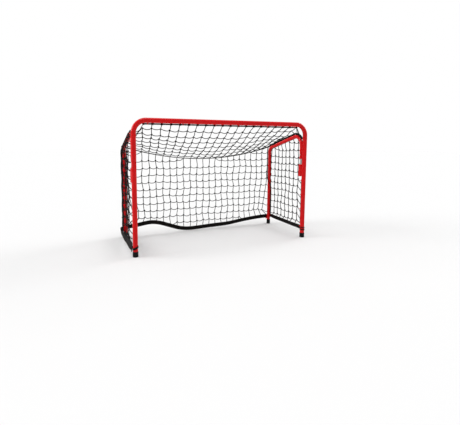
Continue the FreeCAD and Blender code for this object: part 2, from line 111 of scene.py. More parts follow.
class Bench:
    """Small operations that several pieces share."""

    @staticmethod
    def only(obj: bpy.types.Object) -> None:
        """Selects one object and makes it active.

        Args:
            obj: The object to select.
        """
        Bench.clear()
        obj.select_set(True)
        bpy.context.view_layer.objects.active = obj

    @staticmethod
    def clear() -> None:
        """Deselects everything."""
        for other in bpy.context.selected_objects:
            other.select_set(False)

    @staticmethod
    def add(name: str, data: bpy.types.ID) -> bpy.types.Object:
        """Puts new data into the scene.

        Args:
            name: The object's name.
            data: Its mesh, curve, camera or light.

        Returns:
            The new object.
        """
        obj = bpy.data.objects.new(name, data)
        bpy.context.scene.collection.objects.link(obj)
        return obj

    @staticmethod
    def coat(obj: bpy.types.Object, material: bpy.types.Material) -> None:
        """Gives an object one material and no other.

        Args:
            obj: The object.
            material: Its finish.
        """
        obj.data.materials.clear()
        obj.data.materials.append(material)

    @staticmethod
    def settle(obj: bpy.types.Object) -> None:
        """Moves an object's place into its mesh.

        Args:
            obj: The finished mesh object.
        """
        bpy.context.view_layer.update()
        obj.data.transform(obj.matrix_world)
        obj.matrix_world = Matrix.Identity(4)

    @staticmethod
    def join(parts: Sequence[bpy.types.Object], name: str) -> bpy.types.Object:
        """Joins meshes into one object.

        Args:
            parts: The meshes; the first one stays.
            name: The joined piece's name.

        Returns:
            The joined object.
        """
        Bench.only(parts[0])
        for part in parts[1:]:
            part.select_set(True)
        if len(parts) > 1:
            bpy.ops.object.join()
        parts[0].name = name
        parts[0].data.name = name
        return parts[0]

    @staticmethod
    def cords(name: str, routes: Iterable[Route], radius: float, sides: int = 6,
              steps: int = 3) -> bpy.types.Object:
        """Round cords along smooth routes, as one mesh.

        Args:
            name: The piece's name.
            routes: Control points of each cord.
            radius: The cord's radius.
            sides: Faces round a cord.
            steps: Rings between two control points.

        Returns:
            The mesh object, with U along each cord and V round it.
        """
        curve = bpy.data.curves.new(name, "CURVE")
        curve.dimensions = "3D"
        curve.bevel_depth = radius
        curve.bevel_resolution = (sides - 4) // 2
        curve.use_fill_caps = True
        for route in routes:
            spline = curve.splines.new("NURBS")
            spline.points.add(len(route) - 1)
            for point, place in zip(spline.points, route):
                point.co = (*place, 1.0)
            spline.order_u = 3
            spline.use_endpoint_u = True
            spline.resolution_u = steps
        Bench.only(Bench.add(name, curve))
        bpy.ops.object.convert(target="MESH")
        obj = bpy.context.view_layer.objects.active
        obj.name = name
        bpy.ops.object.shade_smooth()
        return obj

    @staticmethod
    def copies(name: str, pattern: bpy.types.Object, places: Sequence[Matrix]) -> bpy.types.Object:
        """Copies of one small shape, as one mesh.

        Args:
            name: The piece's name.
            pattern: The shape, which is removed.
            places: Where each copy stands.

        Returns:
            The mesh object.
        """
        source = pattern.data
        count = len(source.vertices)
        flat = np.empty(count * 3)
        source.vertices.foreach_get("co", flat)
        corners = np.c_[flat.reshape(-1, 3), np.ones(count)]
        faces = [tuple(p.vertices) for p in source.polygons]
        uvs = np.empty(len(source.loops) * 2)
        source.uv_layers[0].data.foreach_get("uv", uvs)
        points = [(corners @ np.array(place).T)[:, :3] for place in places]
        mesh = bpy.data.meshes.new(name)
        mesh.from_pydata(np.concatenate(points).tolist(), [],
                         [tuple(v + n * count for v in face) for n in range(len(places)) for face in faces])
        mesh.uv_layers.new(name="UVMap").data.foreach_set("uv", np.tile(uvs, len(places)))
        obj = Bench.add(name, mesh)
        bpy.data.objects.remove(pattern)
        Bench.only(obj)
        bpy.ops.object.shade_smooth()
        return obj


class Line:
    """A smooth line through given points, sampled evenly."""

    def __init__(self, points: Route, step: float) -> None:
        """Samples a curve through the points.

        Args:
            points: Points that the line goes through.
            step: Distance between samples.
        """
        rough = self._through([np.array(p, float) for p in points])
        lengths = np.r_[0.0, np.cumsum(np.linalg.norm(np.diff(rough, axis=0), axis=1))]
        count = max(4, int(round(lengths[-1] / step)) + 1)
        self.length = float(lengths[-1])
        self.at = np.linspace(0.0, self.length, count)
        self.points = np.stack([np.interp(self.at, lengths, rough[:, i]) for i in range(3)], axis=1)
        self.sides, self.ups = self._turning()

    @staticmethod
    def _through(points: list[np.ndarray], per_span: int = 12) -> np.ndarray:
        """Catmull-Rom samples through the points.

        Args:
            points: Points to pass through.
            per_span: Samples between two points.

        Returns:
            The samples, one row each.
        """
        if len(points) == 2:
            return np.linspace(points[0], points[1], per_span + 1)
        ends = [2 * points[0] - points[1], *points, 2 * points[-1] - points[-2]]
        rows = []
        for a, b, c, d in zip(ends, ends[1:], ends[2:], ends[3:]):
            for t in np.arange(per_span) / per_span:
                rows.append(0.5 * (2 * b + (c - a) * t + (2 * a - 5 * b + 4 * c - d) * t ** 2
                                   + (3 * b - a - 3 * c + d) * t ** 3))
        return np.array(rows + [points[-1]])

    def _turning(self) -> tuple[np.ndarray, np.ndarray]:
        """Two directions across the line that don't spin along it.

        Returns:
            The sideways and upward directions at each sample.
        """
        along = np.gradient(self.points, axis=0)
        along /= np.linalg.norm(along, axis=1)[:, None]
        side = np.cross(along[0], (0.0, 0.0, 1.0))
        if np.linalg.norm(side) < 0.1:
            side = np.cross(along[0], (1.0, 0.0, 0.0))
        sides = []
        for direction in along:
            side = side - direction * (side @ direction)
            side = side / np.linalg.norm(side)
            sides.append(side)
        sides = np.array(sides)
        return sides, np.cross(sides, along)

    def twisted(self, offset: Callable[[float], float], phase: float, lay: float) -> list[Vector]:
        """A line that winds round this one.

        Args:
            offset: Distance from the middle, by the share of the length.
            phase: Angle at the start.
            lay: Length of one turn.

        Returns:
            The winding line's points.
        """
        wound = []
        for at, point, side, up in zip(self.at, self.points, self.sides, self.ups):
            angle = phase + math.tau * at / lay
            reach = offset(at / self.length)
            wound.append(Vector(point + (side * math.cos(angle) + up * math.sin(angle)) * reach))
        return wound


# Finishes


class Nodes:
    """A node tree, with short calls to add to it."""

    def __init__(self, tree: bpy.types.NodeTree) -> None:
        """Keeps the tree."""
        self.tree = tree

    @staticmethod
    def plain(socket: bpy.types.NodeSocket) -> str:
        """A socket's name in lower case, without spaces."""
        return socket.name.lower().replace(" ", "_")

    def add(self, kind: str, **settings: object) -> bpy.types.Node:
        """Adds a node.

        Args:
            kind: The node's type.
            settings: Attributes, or input values by their plain names in lower case.

        Returns:
            The new node.
        """
        node = self.tree.nodes.new(kind)
        for key, value in settings.items():
            found = [s for s in node.inputs if self.plain(s) == key and s.enabled]
            if found:
                found[0].default_value = value
            else:
                setattr(node, key, value)
        return node

    def link(self, source: bpy.types.NodeSocket, target: bpy.types.NodeSocket) -> None:
        """Joins two sockets."""
        self.tree.links.new(source, target)

    def math(self, operation: str, first: object, second: object = 0.0) -> bpy.types.NodeSocket:
        """A Math node.

        Args:
            operation: Its operation.
            first: A socket or a number.
            second: A socket or a number.

        Returns:
            The result's socket.
        """
        node = self.add("ShaderNodeMath", operation=operation)
        for i, value in enumerate((first, second)):
            if isinstance(value, bpy.types.NodeSocket):
                self.link(value, node.inputs[i])
            else:
                node.inputs[i].default_value = value
        return node.outputs[0]

    def noise(self, place: bpy.types.NodeSocket, scale: float, detail: float = 3.0) -> bpy.types.NodeSocket:
        """Noise at a place.

        Args:
            place: The coordinate socket.
            scale: Cells to the metre, or to the unit of the map.
            detail: Octaves.

        Returns:
            The noise value's socket.
        """
        node = self.add("ShaderNodeTexNoise", scale=scale, detail=detail)
        self.link(place, node.inputs["Vector"])
        return node.outputs["Fac"]

    def ramp(self, value: bpy.types.NodeSocket, low: float, high: float, start: float,
             end: float) -> bpy.types.NodeSocket:
        """Maps a value from one range to another, clamped.

        Args:
            value: The value's socket.
            low: Input that gives start.
            high: Input that gives end.
            start: Output at low.
            end: Output at high.

        Returns:
            The result's socket.
        """
        node = self.add("ShaderNodeMapRange", from_min=low, from_max=high, to_min=start, to_max=end)
        self.link(value, node.inputs["Value"])
        return node.outputs["Result"]

    def blend(self, share: bpy.types.NodeSocket, first: Sequence[float],
              second: Sequence[float]) -> bpy.types.NodeSocket:
        """Mixes two colours.

        Args:
            share: How much of the second.
            first: Linear colour.
            second: Linear colour.

        Returns:
            The colour's socket.
        """
        node = self.add("ShaderNodeMix", data_type="RGBA")
        self.link(share, node.inputs["Factor"])
        node.inputs[6].default_value = (*first, 1.0)
        node.inputs[7].default_value = (*second, 1.0)
        return node.outputs[2]

    def bump(self, height: bpy.types.NodeSocket, depth: float, strength: float,
             under: bpy.types.NodeSocket | None = None) -> bpy.types.NodeSocket:
        """A Bump node.

        Args:
            height: Height between zero and one.
            depth: Real depth in metres.
            strength: Share of that depth.
            under: Another bump's normal.

        Returns:
            The normal's socket.
        """
        node = self.add("ShaderNodeBump", distance=depth, strength=strength)
        self.link(height, node.inputs["Height"])
        if under is not None:
            self.link(under, node.inputs["Normal"])
        return node.outputs["Normal"]

    def axes(self, place: bpy.types.NodeSocket) -> tuple[bpy.types.NodeSocket, ...]:
        """Splits a place into its axes.

        Args:
            place: The coordinate socket.

        Returns:
            The sockets of X, Y and Z.
        """
        node = self.add("ShaderNodeSeparateXYZ")
        self.link(place, node.inputs[0])
        return tuple(node.outputs)

    def place(self) -> bpy.types.NodeSocket:
        """Object coordinates."""
        return self.add("ShaderNodeTexCoord").outputs["Object"]

    def chart(self) -> bpy.types.NodeSocket:
        """The piece's own UV map."""
        return self.add("ShaderNodeTexCoord").outputs["UV"]


class Shader(Nodes):
    """A material's node tree, which ends in a Principled shader."""

    def __init__(self, name: str) -> None:
        """Starts a material.

        Args:
            name: The material's name.
        """
        self.material = bpy.data.materials.new(name)
        self.material.use_nodes = True
        super().__init__(self.material.node_tree)

    def give(self, **inputs: object) -> bpy.types.Material:
        """Sets inputs of the Principled shader.

        Args:
            inputs: A value or a socket for each, by its plain name.

        Returns:
            The material.
        """
        sockets = {self.plain(socket): socket for socket in self.tree.nodes["Principled BSDF"].inputs}
        for name, value in inputs.items():
            if isinstance(value, bpy.types.NodeSocket):
                self.link(value, sockets[name])
            else:
                sockets[name].default_value = value
        return self.material


class Finish(ABC):
    """A finish that makes its own material."""

    @abstractmethod
    def material(self) -> bpy.types.Material:
        """Makes the material."""


@dataclass(frozen=True)
class PowderCoat(Finish):
    """Glossy baked red paint with a faint orange peel."""

    colour: Colour = (0.690, 0.0018, 0.0038)
    deep: Colour = (0.600, 0.0012, 0.0030)
    cloud: float = 9.0
    handling: float = 46.0
    roughness: tuple[float, float] = (0.16, 0.27)
    peel: float = 620.0
    peel_depth: float = 0.00006
    speck: float = 2400.0
    specular: float = 0.12
    coat: float = 0.06
    coat_roughness: float = 0.08

    def material(self) -> bpy.types.Material:
        """Makes the paint.

        Returns:
            The material.
        """
        s = Shader("red_powder_coat")
        place = s.place()
        cloudy = s.ramp(s.noise(place, self.cloud, 4.0), 0.35, 0.7, 0.0, 1.0)
        handled = s.ramp(s.noise(place, self.handling, 5.0), 0.35, 0.72, *self.roughness)
        peel = s.bump(s.noise(place, self.peel, 1.0), self.peel_depth, 0.5)
        speck = s.bump(s.noise(place, self.speck, 2.0), self.peel_depth / 3, 0.25, peel)
        return s.give(base_color=s.blend(cloudy, self.colour, self.deep), roughness=handled, normal=speck,
                      specular_ior_level=self.specular, coat_weight=self.coat,
                      coat_roughness=self.coat_roughness)


@dataclass(frozen=True)
class Zinc(Finish):
    """Plated steel, as on a pin or rivet."""

    colour: Colour = (0.46, 0.46, 0.47)
    yellowed: Colour = (0.60, 0.59, 0.56)
    spangle: float = 160.0
    grain: float = 900.0
    roughness: tuple[float, float] = (0.28, 0.45)

    def material(self) -> bpy.types.Material:
        """Makes the plated steel.

        Returns:
            The material.
        """
        s = Shader("zinc_plate")
        place = s.place()
        grain = s.ramp(s.noise(place, self.grain, 3.0), 0.3, 0.7, *self.roughness)
        spangled = s.blend(s.noise(place, self.spangle, 4.0), self.colour, self.yellowed)
        return s.give(base_color=spangled, roughness=grain, metallic=1.0)


@dataclass(frozen=True)
class GreyNylon(Finish):
    """Moulded grey nylon with a satin face."""

    colour: Colour = (0.44, 0.43, 0.42)
    pale: Colour = (0.56, 0.55, 0.53)
    cloud: float = 70.0
    satin: float = 300.0
    roughness: tuple[float, float] = (0.38, 0.52)
    spark: float = 1100.0
    spark_depth: float = 0.00005
    glow: float = 0.08
    glow_reach: tuple[float, float, float] = (0.002, 0.002, 0.002)

    def material(self) -> bpy.types.Material:
        """Makes the nylon.

        Returns:
            The material.
        """
        s = Shader("grey_nylon")
        place = s.place()
        return s.give(base_color=s.blend(s.noise(place, self.cloud, 3.0), self.colour, self.pale),
                      roughness=s.ramp(s.noise(place, self.satin, 2.0), 0.3, 0.7, *self.roughness),
                      normal=s.bump(s.noise(place, self.spark, 2.0), self.spark_depth, 0.4),
                      subsurface_weight=self.glow, subsurface_radius=self.glow_reach)


@dataclass(frozen=True)
class FootRubber(Finish):
    """Black moulded rubber, scuffed grey low down."""

    colour: Colour = (0.0045, 0.0045, 0.0048)
    scuffed: Colour = (0.030, 0.028, 0.026)
    scuff_height: float = 0.006
    scuff: float = 380.0
    cloud: float = 240.0
    roughness: tuple[float, float] = (0.42, 0.60)
    pore: float = 1500.0
    pore_depth: float = 0.00008
    specular: float = 0.1

    def material(self) -> bpy.types.Material:
        """Makes the rubber.

        Returns:
            The material.
        """
        s = Shader("foot_rubber")
        place = s.place()
        low = s.ramp(s.axes(place)[2], 0.0, self.scuff_height, 1.0, 0.0)
        rubbed = s.math("MULTIPLY", low, s.ramp(s.noise(place, self.scuff, 4.0), 0.4, 0.65, 0.0, 1.0))
        return s.give(base_color=s.blend(rubbed, self.colour, self.scuffed),
                      roughness=s.ramp(s.noise(place, self.cloud, 3.0), 0.3, 0.7, *self.roughness),
                      normal=s.bump(s.noise(place, self.pore, 2.0), self.pore_depth, 0.5),
                      specular_ior_level=self.specular)


@dataclass(frozen=True)
class Twine(Finish):
    """Black twisted polyethylene cord; its plies wind along the piece's own map."""

    name: str
    turns: float
    plies: int = 3
    colour: Colour = (0.0060, 0.0050, 0.0048)
    worn: Colour = (0.018, 0.015, 0.014)
    ply_depth: float = 0.0008
    wear: float = 60.0
    fibre: float = 1600.0
    fibre_depth: float = 0.00015
    roughness: tuple[float, float] = (0.48, 0.70)
    specular: float = 0.05
    sheen: float = 0.01
    sheen_roughness: float = 0.4

    def material(self) -> bpy.types.Material:
        """Makes the cord.

        Returns:
            The material.
        """
        s = Shader(self.name)
        along, around, _ = s.axes(s.chart())
        turned = s.math("ADD", s.math("MULTIPLY", around, float(self.plies)),
                        s.math("MULTIPLY", along, self.turns * self.plies))
        ply = s.math("ABSOLUTE", s.math("SINE", s.math("MULTIPLY", turned, math.tau)))
        place = s.place()
        fibre = s.noise(place, self.fibre, 3.0)
        worn = s.math("MULTIPLY", ply, s.noise(place, self.wear, 3.0))
        hair = s.bump(fibre, self.fibre_depth, 0.5)
        return s.give(base_color=s.blend(worn, self.colour, self.worn),
                      roughness=s.ramp(fibre, 0.3, 0.7, *self.roughness),
                      normal=s.bump(ply, self.ply_depth, 0.8, hair), specular_ior_level=self.specular,
                      sheen_weight=self.sheen, sheen_roughness=self.sheen_roughness)


@dataclass(frozen=True)
class Weave(Finish):
    """Black woven webbing: its ribs run across and its yarns along."""

    name: str
    length: float
    height: float
    rib: float = 0.0016
    yarn: float = 0.0011
    colour: Colour = (0.0040, 0.0034, 0.0032)
    worn: Colour = (0.0125, 0.0100, 0.0092)
    fade: float = 34.0
    rub: float = 1300.0
    roughness: tuple[float, float] = (0.55, 0.78)
    fuzz: float = 2200.0
    fuzz_depth: float = 0.0001
    yarn_depth: float = 0.0004
    specular: float = 0.05
    sheen: float = 0.01
    sheen_roughness: float = 0.5

    def material(self) -> bpy.types.Material:
        """Makes the webbing.

        Returns:
            The material.
        """
        s = Shader(self.name)
        along, across, _ = s.axes(s.chart())
        ribs = s.math("SINE", s.math("MULTIPLY", along, math.pi * self.length / self.rib))
        yarns = s.math("SINE", s.math("MULTIPLY", across, math.pi * self.height / self.yarn))
        lift = s.ramp(s.math("MULTIPLY", ribs, yarns), -1.0, 1.0, 0.0, 1.0)
        place = s.place()
        faded = s.math("MULTIPLY", lift, s.ramp(s.noise(place, self.fade, 4.0), 0.35, 0.75, 0.15, 1.0))
        fuzz = s.bump(s.noise(place, self.fuzz, 2.0), self.fuzz_depth, 0.4)
        return s.give(base_color=s.blend(faded, self.colour, self.worn),
                      roughness=s.ramp(s.noise(place, self.rub, 2.0), 0.3, 0.7, *self.roughness),
                      normal=s.bump(lift, self.yarn_depth, 0.7, fuzz), specular_ior_level=self.specular,
                      sheen_weight=self.sheen, sheen_roughness=self.sheen_roughness)


@dataclass
class Finishes:
    """Every finish of the goal, made once."""

    paint: bpy.types.Material = field(default_factory=PowderCoat().material)
    zinc: bpy.types.Material = field(default_factory=Zinc().material)
    nylon: bpy.types.Material = field(default_factory=GreyNylon().material)
    rubber: bpy.types.Material = field(default_factory=FootRubber().material)
    mesh_cord: bpy.types.Material = field(default_factory=Twine("net_twine", 5.0).material)
    strand: bpy.types.Material = field(
        default_factory=Twine("rope_strand", 90.0, 4, ply_depth=0.0002).material)
    lace: bpy.types.Material = field(default_factory=Twine("lacing_cord", 60.0).material)
    long_band: bpy.types.Material = field(default_factory=Weave("hem_webbing_long", 0.45, 0.022).material)
    short_band: bpy.types.Material = field(default_factory=Weave("hem_webbing_short", 0.31, 0.022).material)
    loop_band: bpy.types.Material = field(default_factory=Weave("hem_webbing_loop", 0.08, 0.012).material)
    thread: bpy.types.Material = field(
        default_factory=Twine("hem_thread", 2.0, 2, (0.035, 0.032, 0.030), (0.075, 0.068, 0.062),
                              0.0001).material)


# Places read from the frame


@dataclass(frozen=True)
class Layout:
    """Where things are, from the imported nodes; right-hand values serve both sides."""

    post: Vector
    post_r: float
    leg_y: float
    side_r: float
    hinge_y: float
    rope: Vector
    rope_half: float
    rope_r: float
    back_y: float
    back_half: float
    top_half: float
    top_front: float
    top_rear: float
    ridge_end_z: float
    ridge_mid_z: float
    ridge_r: float
    net_x: float
    corner: Vector
    corner_low_z: float
    corner_r: float
    bundle_r: float
    post_rope_low: Vector
    post_rope_high: Vector
    stub_z: float
    socket_r: float

    @classmethod
    def read(cls) -> "Layout":
        """Reads the frame's boxes.

        Returns:
            The layout.
        """
        def middle(node: str) -> Vector:
            """The middle of a node's box."""
            low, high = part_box(node)
            return (low + high) / 2

        post, hinge, tie = middle("foot_front_right"), middle("hinge_pin_right"), middle("post_rope_right")
        rope_low, rope_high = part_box("crossbar_rope")
        top_low, top_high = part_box("net_top")
        ridge_low, ridge_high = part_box("ridge_rope")
        ridge_r = (ridge_high.y - ridge_low.y) / 2
        corner_low, corner_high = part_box("corner_rope_right")
        bundle_low, bundle_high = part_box("bar_rope_right")
        tie_low, tie_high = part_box("post_rope_right")
        spacer_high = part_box("hinge_spacer_right")[1]
        return cls(
            post=Vector((post.x, post.y, 0.0)), post_r=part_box("front_frame")[1].x - post.x,
            leg_y=middle("foot_rear_right").y, side_r=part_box("side_frame_right")[1].x - post.x,
            hinge_y=hinge.y, rope=middle("crossbar_rope"), rope_half=rope_high.x,
            rope_r=(rope_high.z - rope_low.z) / 2, back_y=middle("net_back").y,
            back_half=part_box("net_back")[1].x, top_half=top_high.x, top_front=top_low.y,
            top_rear=top_high.y, ridge_end_z=ridge_high.z - ridge_r, ridge_mid_z=ridge_low.z + ridge_r,
            ridge_r=ridge_r, net_x=middle("net_right").x,
            corner=(corner_low + corner_high) / 2, corner_low_z=corner_low.z,
            corner_r=(corner_high.x - corner_low.x) / 2, bundle_r=(bundle_high.x - bundle_low.x) / 2,
            post_rope_low=Vector((tie.x, tie.y, tie_low.z)),
            post_rope_high=Vector((tie.x, tie.y, tie_high.z)),
            stub_z=spacer_high.z, socket_r=spacer_high.y - hinge.y)

    def ridge_z(self, x: float) -> float:
        """Height of the sagging edge between top and back.

        Args:
            x: Distance from the middle.

        Returns:
            The height, on a shallow arc.
        """
        sag = self.ridge_end_z - self.ridge_mid_z
        bow = (self.back_half ** 2 + sag ** 2) / (2 * sag)
        return self.ridge_mid_z + bow - math.sqrt(bow ** 2 - min(abs(x), self.back_half) ** 2)


@dataclass(frozen=True)
class SideTube:
    """The bent side tube's axis in the plane of its side."""

    layout: Layout
    arch_r: float = 0.050
    bend_r: float = 0.030
    fall: float = math.radians(14.5)

    @property
    def arch_centre(self) -> tuple[float, float]:
        """Y and Z of the arch's centre."""
        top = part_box("side_frame_right")[1].z
        return self.layout.hinge_y + self.arch_r, top - self.layout.side_r - self.arch_r

    @property
    def bend_centre(self) -> tuple[float, float]:
        """Y and Z of the rear bend's centre.

        Returns:
            The place, where the falling bar touches both bends.
        """
        y, z = self.arch_centre
        rear = self.layout.leg_y - self.bend_r
        run = (rear - y + (self.bend_r - self.arch_r) * math.sin(self.fall)) / math.cos(self.fall)
        return rear, z + (self.arch_r - self.bend_r) * math.cos(self.fall) - run * math.sin(self.fall)

    def front_y(self, z: float) -> float:
        """Where the stub or the arch's front half is at a height.

        Args:
            z: The height.

        Returns:
            The place along the side.
        """
        y, arch_z = self.arch_centre
        if z <= arch_z:
            return self.layout.hinge_y
        return y - math.sqrt(max(0.0, self.arch_r ** 2 - (z - arch_z) ** 2))

    def over(self, offset: float, start_deg: float, end_deg: float,
             pieces: int = 7) -> list[tuple[float, float]]:
        """Points over arch, bar and rear bend.

        Args:
            offset: Distance outwards from the tube's axis.
            start_deg: Angle on the arch where the points start.
            end_deg: Angle on the rear bend where they end.
            pieces: Spans on each bend.

        Returns:
            Y and Z of each point, from the front to the rear.
        """
        slope = 90.0 - math.degrees(self.fall)
        points = []
        for (y, z), radius, first, last in ((self.arch_centre, self.arch_r, start_deg, slope),
                                            (self.bend_centre, self.bend_r, slope, end_deg)):
            for i in range(pieces + 1):
                a = math.radians(first + (last - first) * i / pieces)
                points.append((y + (radius + offset) * math.cos(a), z + (radius + offset) * math.sin(a)))
        return points


# Painted, plated and moulded pieces


@dataclass
class Tubework:
    """The frame's own nodes, which keep their shape and get their finish."""

    finishes: Finishes
    nodes: dict[str, bpy.types.Object]
    painted: tuple[str, ...] = ("front_frame", "side_frame", "hinge_socket", "socket_weld",
                                "crossbar_eyelets", "post_eyelets", "hem_peg")
    plated: tuple[str, ...] = ("hinge_pin", "stub_plug", "pin_rivet")
    nylon: tuple[str, ...] = ("socket_bush", "hinge_spacer")
    rubber: tuple[str, ...] = ("foot_",)

    def dress(self) -> None:
        """Gives each kept node its finish."""
        for starts, material in ((self.painted, self.finishes.paint), (self.plated, self.finishes.zinc),
                                 (self.nylon, self.finishes.nylon), (self.rubber, self.finishes.rubber)):
            for name, node in self.nodes.items():
                if name.startswith(starts):
                    Bench.coat(node, material)
                    LOG.info("dressed %s", name)


# Netting


@dataclass
class Knot:
    """The small lump where two cords of the net are knotted."""

    loop_r: float = 0.0023
    cord_r: float = 0.0019
    tilt: float = math.radians(32)
    stretch: tuple[float, float, float] = (1.25, 1.0, 1.2)
    lean: float = 0.5
    sizes: tuple[float, float] = (0.9, 1.15)

    def pattern(self) -> bpy.types.Object:
        """One knot at the origin, round an upright cord.

        Returns:
            The knot.
        """
        Bench.clear()
        bpy.ops.mesh.primitive_torus_add(major_segments=7, minor_segments=5, major_radius=self.loop_r,
                                         minor_radius=self.cord_r)
        knot = bpy.context.object
        knot.data.transform(Matrix.Diagonal((*self.stretch, 1.0)))
        knot.data.transform(Matrix.Rotation(self.tilt, 4, "Y"))
        return knot

    def tied(self, name: str, places: Sequence[Vector], rng: random.Random) -> bpy.types.Object:
        """Knots at the given places.

        Args:
            name: The piece's name.
            places: Where the knots are.
            rng: Source of their small differences.

        Returns:
            The knots as one mesh.
        """
        spots = []
        for place in places:
            turn = Matrix.Rotation(rng.uniform(0.0, math.tau), 4, "Z")
            lean = Matrix.Rotation(rng.uniform(-self.lean, self.lean), 4, "X")
            spots.append(Matrix.Translation(place) @ lean @ turn @ Matrix.Scale(rng.uniform(*self.sizes), 4))
        return Bench.copies(name, self.pattern(), spots)


@dataclass(frozen=True)
class Ripple:
    """A small wave over a net's columns and rows, which keeps its meshes from being all alike."""

    by_column: float
    by_row: float

    def at(self, i: int, k: int, shift: float = 0.0) -> float:
        """The wave's height at a column and row, between minus one and one."""
        return math.sin(self.by_column * i + self.by_row * k + shift)


@dataclass
class Netting:
    """Knotted netting: knots in rows and columns, and a cord between each two."""

    cord_r: float = 0.0019
    wander: float = 0.028
    bends_at: tuple[float, float] = (0.25, 0.75)
    seed: int = 7
    knot: Knot = field(default_factory=Knot)

    def strand(self, a: Vector, b: Vector, rng: random.Random, droop: float) -> list[Vector]:
        """One cord between two knots.

        Args:
            a: First knot.
            b: Second knot.
            rng: Source of small bends.
            droop: How far it hangs down, as a share of its length.

        Returns:
            Control points of the cord.
        """
        span = b - a
        down = -UP * (droop * span.length)

        def bend(share: float) -> Vector:
            """A point near the straight line, at a share of its length."""
            aside = Vector([rng.gauss(0.0, self.wander) * span.length for _ in range(3)])
            return a + span * share + down + aside

        return [a, *(bend(share) for share in self.bends_at), b]

    def weave(self, columns: Sequence[dict[int, Vector]], ends: Sequence[tuple[Vector, Vector]],
              droop: float) -> list[tuple[Vector, Vector, float]]:
        """Cords of a panel whose columns hang between two edges.

        Args:
            columns: The knots of each column, by row.
            ends: Where each column starts below and ends above.
            droop: How far the cords of a row hang, as a share of their length.

        Returns:
            The two ends and the droop of each cord.
        """
        strands = []
        for column, (foot, head) in zip(columns, ends):
            line = [foot, *(column[k] for k in sorted(column)), head]
            strands += [(a, b, 0.0) for a, b in zip(line, line[1:])]

        def meet(knots: dict[int, Vector], k: int, tips: tuple[Vector, Vector], other: Vector) -> Vector:
            """A column's knot in a row, or the end of the column that is nearer."""
            return knots[k] if k in knots else min(tips, key=lambda tip: (tip - other).length)

        for i, (first, second) in enumerate(zip(columns, columns[1:])):
            for k in sorted(set(first) | set(second)):
                some = first.get(k, second.get(k))
                strands.append((meet(first, k, ends[i], some), meet(second, k, ends[i + 1], some), droop))
        return strands

    def build(self, name: str, strands: Sequence[tuple[Vector, Vector, float]],
              knots: Sequence[Vector], seed: int) -> bpy.types.Object:
        """Makes the panel's mesh.

        Args:
            name: The piece's name.
            strands: The two ends and the droop of each cord.
            knots: Where the knots are.
            seed: Added to this netting's own seed.

        Returns:
            The panel as one mesh.
        """
        rng = random.Random(self.seed + seed)
        routes = [self.strand(a, b, rng, droop) for a, b, droop in strands]
        cords = Bench.cords(name, routes, self.cord_r)
        tied = self.knot.tied(name + "_knots", knots, rng)
        return Bench.join([cords, tied], name)


@dataclass
class BackNet:
    """The upright net between the ridge and the hem, made as two halves."""

    layout: Layout
    netting: Netting
    hem_top: Callable[[float], float]
    first_x: float = 0.004
    pitch_x: float = 0.0388
    reach: int = 11
    pitch_z: float = 0.0385
    first_z: float = 0.0167
    rows: int = 12
    waver: float = 0.0030
    across: Ripple = Ripple(0.9, 1.7)
    again: Ripple = Ripple(0.0, 2.3)
    upright: Ripple = Ripple(1.35, 0.6)
    along: Ripple = Ripple(0.5, 0.8)
    billow: float = 0.005
    lean: float = 0.067
    dip: float = 0.022
    droop: float = 0.16
    clear: float = 0.3
    sewn_in: float = 0.004
    again_share: float = 0.6
    upright_share: float = 0.8
    edge_power: int = 8
    lean_power: int = 5
    corner_power: int = 30
    corner_rate: float = 30.0

    def column_x(self, i: int) -> float:
        """Place across of a column, or of a rear corner past the last one."""
        return max(-self.layout.back_half, min(self.layout.back_half, self.first_x + self.pitch_x * i))

    def knot(self, i: int, k: int) -> Vector:
        """Where the knot of a column and row is.

        Args:
            i: Column, counted from the middle; negative on the left.
            k: Row, counted from below.

        Returns:
            The knot's place.
        """
        x = self.column_x(i)
        z = self.first_z + self.pitch_z * k
        share = abs(x) / self.layout.back_half
        free = 1.0 - share ** self.edge_power
        low = max(0.0, 1.0 - z / self.layout.ridge_mid_z)
        side = math.copysign(1.0, x)
        off_corner = min(1.0, self.corner_rate * (1.0 - share))
        x += free * self.waver * (self.across.at(i, k) + self.again_share * self.again.at(i, k))
        x -= side * self.lean * low ** 2 * share ** self.lean_power * off_corner
        z += (self.waver * self.upright_share * self.upright.at(i, k)
              - self.dip * low * share ** self.corner_power)
        y = self.layout.back_y + self.billow * free * self.along.at(i, k)
        return Vector((x, y, z))

    def column(self, i: int) -> dict[int, Vector]:
        """The knots of a column between hem and ridge.

        Args:
            i: The column.

        Returns:
            Knots by row.
        """
        clear = self.clear * self.pitch_z
        knots = {k: self.knot(i, k) for k in range(self.rows + 1)}
        return {k: knot for k, knot in knots.items()
                if self.hem_top(knot.x) + clear < knot.z < self.layout.ridge_z(knot.x) - clear}

    def tips(self, i: int) -> tuple[Vector, Vector]:
        """Where a column leaves the hem and meets the ridge."""
        x, y = self.column_x(i), self.layout.back_y
        return Vector((x, y, self.hem_top(x) - self.sewn_in)), Vector((x, y, self.layout.ridge_z(x)))

    def build(self, side: Side) -> bpy.types.Object:
        """One half of the net.

        Args:
            side: Which half.

        Returns:
            The half as one mesh.
        """
        last = self.reach + 1
        own = range(0, last + 1) if side is Side.RIGHT else range(-last, 0)
        indices = [-1, *own] if side is Side.RIGHT else list(own)
        columns = [self.column(i) for i in indices]
        ends = [self.tips(i) for i in indices]
        strands = self.netting.weave(columns, ends, self.droop)
        if side is Side.RIGHT:
            strands = strands[len(columns[0]) + 1:]
            columns = columns[1:]
        knots = [knot for column in columns for knot in column.values()]
        return self.netting.build(f"back_net_{side.word}", strands, knots, side.value)


